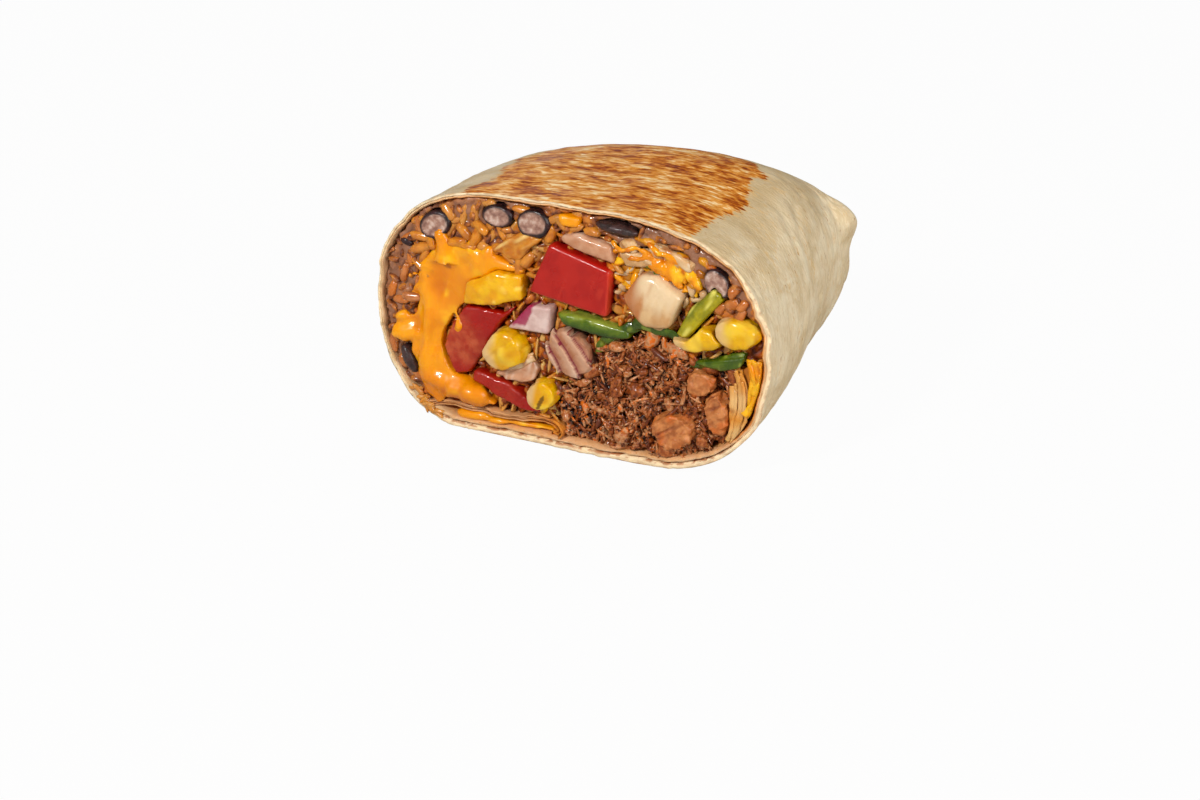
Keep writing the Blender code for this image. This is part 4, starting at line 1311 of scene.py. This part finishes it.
def make_pale_onions():
    top_tone = marked(lambda p: spots(p, (3, 3, 1.2), 115))
    piece("onion_top", "onion_pink", 0.34, 2, waves(0.18, 2.5, 114), top_tone, dome=0.5)
    whitish = marked(
        lambda p: smooth_step(-0.2, 0.6, (p[:, 2] - 38) / 7 + 0.6 * run_along(p, 80, 0.9, 8, 116)),
        lambda p: 0.9 * smooth_step(0.2, -0.7, (p[:, 0] - 18) / 6 + 0.5 * run_along(p, 75, 1.2, 8, 117)),
    )
    foot = drip([(19.4, 1.5, 38), (20.2, 0.8, 35), (20.8, 0.4, 32.6)], [3.4, 2.6, 0.8])
    piece("onion_large", "onion", 0.42, 12, waves(0.3, 4, 118), whitish, [foot], dome=1.4)
    for node, finish, degrees, seed in (
        ("onion_cooked", "onion_cooked", 35, 119),
        ("onion_shred_left", "onion", -20, 120),
        ("onion_shred_right", "onion", -35, 121),
    ):
        def grain(points, degrees=degrees, seed=seed):
            return run_along(points, degrees, 1.0, 6, seed)

        def relief(points, normals, grain=grain, seed=seed):
            return 0.55 * grain(points) + 0.3 * layered_noise(points, 1.5, seed + 5)

        def layered(points, normals, lift, grain=grain):
            # tone: painted light on the ridges of the grain; mark: painted shade in its furrows
            run = grain(points)
            return {"tone": smooth_step(0.1, 0.7, run), "mark": smooth_step(-0.2, -0.7, run) * 0.8}

        piece(node, finish, 0.34, 3, relief, layered)


def make_red_onions():
    def petals(points, normals):
        return 1.1 * (petal_share(points) - 0.6) + 0.12 * soft_noise(points, 2.5, 123)

    def petal_marks(points, normals, lift):
        share = petal_share(points)
        # tone: a painted highlight along each petal's crest, broken by streaks; mark: the petals' dark red edges
        light = smooth_step(0.35, 0.9, share) * (0.6 + 0.4 * run_along(points, -65, 0.9, 6, 124))
        edge = 0.9 * smooth_step(0.12, 0.02, share) + 0.4 * smooth_step(0.5, 0.1, share)
        return {"tone": np.clip(light, 0, 1), "mark": np.clip(edge, 0, 1)}

    def purple(points):
        split = points[:, 0] * 0.9 - points[:, 2] * 0.42 + 0.35 * soft_noise(points, 1.2, 120)
        low_edge = smooth_step(28.4, 29.4, points[:, 2] + 0.5 * soft_noise(points, 0.8, 121))
        grain = 0.92 + 0.08 * run_along(points, 60, 0.5, 4, 125)
        return (1 - smooth_step(-23.4, -23.0, split)) * low_edge * grain

    veined = marked(
        lambda p: smooth_step(0.0, 0.6, run_along(p, 75, 0.7, 5, 112)) * 0.9,
        lambda p: spots(p, 3, 113, 0.25, 0.8) * 0.7,
    )
    piece("onion_strip", "onion_pink", 0.34, 2, ribbed(0.5, 20, 0.9, 6, 122), veined)
    piece("onion_layered", "onion_pink", 0.3, 1, petals, petal_marks, dome=0.6)
    piece("onion_purple", "onion_purple", 0.34, 1, waves(0.12, 2.5, 126), marked(mark=purple))


def make_leaves():
    """Dark green leaf bits tucked under the big onion, as thin curled sheets."""
    groups, faces, start = [], [], 0
    for path, width, seed in (
        ([(4.6, 0.6, 24.6), (7.6, -0.2, 29.0), (12.4, -0.3, 32.2), (16.6, 0.0, 33.6)], 1.3, 131),
        ([(12.0, 0.3, 31.4), (16.0, -0.7, 34.4), (20.4, -0.8, 33.8), (24.6, -0.2, 32.2)], 1.6, 132),
        ([(11.2, 1.0, 46.6), (13.8, 0.2, 48.4), (17.4, 0.1, 47.4), (20.6, 0.4, 44.6)], 0.6, 133),
    ):
        radii = width * np.array([0.25, 0.8, 1.0, 0.9, 0.3])
        points, parts = drip(path, radii, 0.35, 36)
        points += 0.45 * np.stack([soft_noise(points, 1.6, seed + k) for k in range(3)], axis=1)
        groups.append(points)
        faces.append([part + start for part in parts])
        start += len(points)
    points = np.vstack(groups)
    marks = {"tone": 0.5 + 0.5 * soft_noise(points, 2, 137), "mark": 0.6 * spots(points, 1.2, 138, 0.2, 0.7)}
    show("leaf_bits", points, joined(faces), "green_pepper", (), marks)


def make_peppers():
    # painted highlight: pale glints in spots over the pepper
    painted_shine = marked(mark=lambda p: spots(p, 1.4, 131, 0.3, 0.8) * 0.8)
    piece("yellow_pepper", "yellow_pepper", 0.38, 3, waves(0.4, 2.4, 132), painted_shine, dome=0.6)
    skinned = marked(
        lambda p: smooth_step(0.1, -0.7, own_axes(p)[:, 1]) * 0.9,
        lambda p: smooth_step(0.2, 0.9, own_axes(p)[:, 1] + 0.3 * soft_noise(p, 1.5, 133)) * 0.8,
    )
    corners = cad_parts["jalapeno_strip"].data.vertices
    top = from_world(np.array([vertex.co[:] for vertex in corners]))[:, 2].max()
    piece(
        "jalapeno_strip", "green_pepper", 0.34, 3, waves(0.3, 2.0, 134), skinned,
        dome=0.6, squeeze=(top - 0.5, 0.72),
    )
    leafy = marked(lambda p: 0.5 + 0.6 * soft_noise(p, 2, 136), lambda p: spots(p, 1.2, 137, 0.3, 0.8) * 0.7)
    blade = [(27.2, 0.3, 26.3), (31.0, 0.0, 27.0), (35.5, 0.2, 28.4), (40.2, 0.3, 31.0)]
    piece(
        "leaf_wedge", "green_pepper", 0.34, 2, ribbed(0.35, 15, 1.0, 5, 135), leafy,
        [drip(blade, [0.3, 1.1, 1.6, 0.7], 0.5)],
    )
    # tone: darker along one long side; mark: painted highlight streaks along the grain
    glints_and_dark_side = marked(
        lambda p: smooth_step(0.0, -0.8, own_axes(p)[:, 1]) * 0.8,
        lambda p: smooth_step(0.0, 0.7, run_along(p, 55, 0.8, 4, 138)) * 0.9,
    )
    grain = ribbed(0.45, 55, 1.0, 6, 139)
    piece("pepper_strip_diagonal", "pale_pepper", 0.34, 3, grain, glints_and_dark_side)
    piece("cheese_bit", "cheese", 0.34, 2, waves(0.3, 1.6, 140))


def make_corn():
    for i, node in enumerate(("corn_left", "corn_middle", "corn_right", "corn_tilted")):
        def colours(points, normals, lift, node=node, i=i):
            local = own_axes(points)
            x = points[:, 0]
            across = (x - (x.max() + x.min()) / 2) / (x.max() - x.min()) * 2
            pale = smooth_step(-0.1, -0.7, across + 0.25 * soft_noise(points, 2.5, 141 + i))
            light = smooth_step(0.0, 0.8, soft_noise(points, 2.5, 161 + i))
            # corn_middle: a dark slit painted as shade, with no hollow in the shape
            slit = np.hypot(local[:, 0] / 0.45, (local[:, 1] - 0.1) / 0.13) < 1
            return {"mark": 0.95 * pale, "tone": 0.7 * light, "sunk_shade": slit * (node == "corn_middle") * 0.9}

        def dent(points, normals, i=i):
            crease = 1 - smooth_step(0.0, 0.25, np.abs(run_along(points, 40 + 30 * i, 3.5, 12, 149 + i)))
            return 0.35 * layered_noise(points, 2.4, 145 + i) - 0.3 * crease

        pointed = [drip([(-7.4, 1.2, 15.6), (-8.4, 1.0, 11.6), (-9.3, 0.9, 7.2)], [1.8, 2.8, 0.5])]
        extra = pointed if node == "corn_middle" else []
        piece(node, "corn", 0.34, 4, dent, colours, extra, dome=0.8)


def make_beans():
    def skin_ring(points, normals, lift):
        local = own_axes(points)
        away = np.hypot(local[:, 0], local[:, 1])
        ring = smooth_step(0.70, 0.82, away + 0.08 * soft_noise(points, 1.5, 151))
        return {"mark": np.maximum(ring, smooth_step(0.4, 1.2, points[:, 1]))}

    def relief(points, normals):
        ring = skin_ring(points, normals, None)["mark"]
        return 0.28 * ring + 0.12 * layered_noise(points, 1.0, 152) * (1 - ring)

    for node in ("bean_corner", "bean_top_left", "bean_top_right", "bean_right"):
        piece(node, "black_bean", 0.3, 2, relief, skin_ring)
    whole_skin = marked(mark=lambda p: np.full(len(p), 0.95))
    for node in ("bean_left_low", "bean_flat"):
        piece(node, "black_bean", 0.34, 4, waves(0.3, 1.8, 153), whole_skin, dome=1.2)


def make_meat_chunks():
    def relief(points, normals):
        plates = run_along(points, 50, 1.8, 5.0, 161)
        fibres = run_along(points, 35, 0.55, 3.5, 162)
        edge = smooth_step(0.35, 1.0, (own_axes(points) ** 2).sum(1))
        torn_edge = 1.5 * edge * layered_noise(points, 2.2, 165)
        return 0.45 * plates + 0.3 * fibres + 0.4 * layered_noise(points, 1.3, 164) + torn_edge

    def sear_and_shade(points, normals, lift):
        orange = smooth_step(0.0, 0.6, soft_noise(points, 2.4, 163))
        # mark: painted shade in the hollows of the relief; tone: seared orange patches
        return {"mark": 0.9 * smooth_step(-0.15, -0.7, lift), "tone": 0.7 * orange}

    wide = [ball((26.6, 1.7, 14.4), (3.0, 1.6, 2.2), 30), ball((21.0, 1.7, 9.6), (2.4, 1.6, 1.8))]
    for node, extra in (
        ("meat_chunk_wide", wide),
        ("meat_chunk_tall", [ball((35.4, 1.7, 18.6), (1.7, 1.4, 2.6), 70)]),
        ("meat_chunk_upper", [ball((28.6, 1.7, 24.4), (2.2, 1.4, 1.6), 30)]),
    ):
        piece(node, "meat_chunk", 0.3, 1, relief, sear_and_shade, extra, dome=0.25)


# ---------------------------------------------------------------- room, lights, camera


def make_room():
    """A pale floor that the camera sees as almost white, and an even white world."""
    reach = 4
    white_share = 0.965
    corners = [(-reach, -reach, 0), (reach, -reach, 0), (reach, reach, 0), (-reach, reach, 0)]
    floor_mesh = bpy.data.meshes.new("floor")
    floor_mesh.from_pydata(corners, [], [(0, 1, 2, 3)])
    floor = bpy.data.objects.new("floor", floor_mesh)
    bpy.context.scene.collection.objects.link(floor)
    material = bpy.data.materials.new("pale_floor")
    material.use_nodes = True
    tree = material.node_tree
    shader = tree.nodes["Principled BSDF"]
    shader.inputs["Base Color"].default_value = (0.5, 0.48, 0.45, 1)
    shader.inputs["Roughness"].default_value = 0.9
    glow = tree.nodes.new("ShaderNodeEmission")
    glow.inputs["Strength"].default_value = 1.0
    path = tree.nodes.new("ShaderNodeLightPath")
    share = tree.nodes.new("ShaderNodeMath")
    share.operation = "MULTIPLY"
    share.inputs[1].default_value = white_share
    mixed = tree.nodes.new("ShaderNodeMixShader")
    tree.links.new(path.outputs["Is Camera Ray"], share.inputs[0])
    tree.links.new(share.outputs[0], mixed.inputs[0])
    tree.links.new(shader.outputs[0], mixed.inputs[1])
    tree.links.new(glow.outputs[0], mixed.inputs[2])
    tree.links.new(mixed.outputs[0], tree.nodes["Material Output"].inputs["Surface"])
    floor_mesh.materials.append(material)

    world = bpy.data.worlds.new("studio")
    bpy.context.scene.world = world
    world.use_nodes = True
    world.node_tree.nodes["Background"].inputs["Color"].default_value = (1, 1, 1, 1)
    world.node_tree.nodes["Background"].inputs["Strength"].default_value = 0.22


def add_lamp(name, place, size, power):
    """A round lamp at a place in metres, turned towards the object."""
    lamp = bpy.data.lights.new(name, "AREA")
    lamp.shape = "DISK"
    lamp.size = size
    lamp.energy = power
    made = bpy.data.objects.new(name, lamp)
    bpy.context.scene.collection.objects.link(made)
    made.location = place
    aim = OBJECT_MIDDLE - np.array(place)
    made.rotation_euler = (math.atan2(math.hypot(aim[0], aim[1]), -aim[2]), 0, math.atan2(-aim[0], aim[1]))


def add_camera():
    view = bpy.data.cameras.new("camera")
    view.lens = CAMERA_LENS
    view.sensor_width = 36
    view.clip_start = 0.01
    made = bpy.data.objects.new("camera", view)
    bpy.context.scene.collection.objects.link(made)
    made.location = to_world(CAMERA_PLACE)
    made.rotation_euler = (math.radians(90 - CAMERA_ELEVATION), 0, math.radians(CAMERA_AZIMUTH))
    bpy.context.scene.camera = made


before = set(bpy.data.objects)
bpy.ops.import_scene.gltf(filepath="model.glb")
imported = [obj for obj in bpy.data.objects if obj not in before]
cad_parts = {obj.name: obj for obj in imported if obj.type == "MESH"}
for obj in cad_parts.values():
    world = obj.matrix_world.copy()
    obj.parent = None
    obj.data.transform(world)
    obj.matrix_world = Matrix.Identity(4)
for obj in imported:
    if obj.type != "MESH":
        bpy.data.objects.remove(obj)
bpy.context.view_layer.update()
bpy.context.scene.view_settings.view_transform = "Standard"

build_finishes()
make_tortilla()
make_flap()
make_rice_and_beans()
make_leak()
make_melted_corner()
make_small_shreds()
make_cheese()
make_meat()
make_vegetable_mix()
make_strip()
make_cheese_in_fold()
make_tomatoes()
make_pale_onions()
make_red_onions()
make_leaves()
make_peppers()
make_corn()
make_beans()
make_meat_chunks()
make_room()
add_lamp("key", (-0.2, -0.85, 0.62), 0.16, 8.6)
add_lamp("fill", (0.85, -0.3, 0.4), 0.6, 5.6)
add_lamp("top", (0.0, 0.3, 0.95), 0.5, 0.3)
add_lamp("back", (-0.6, 0.8, 0.3), 0.5, 1.3)
add_camera()
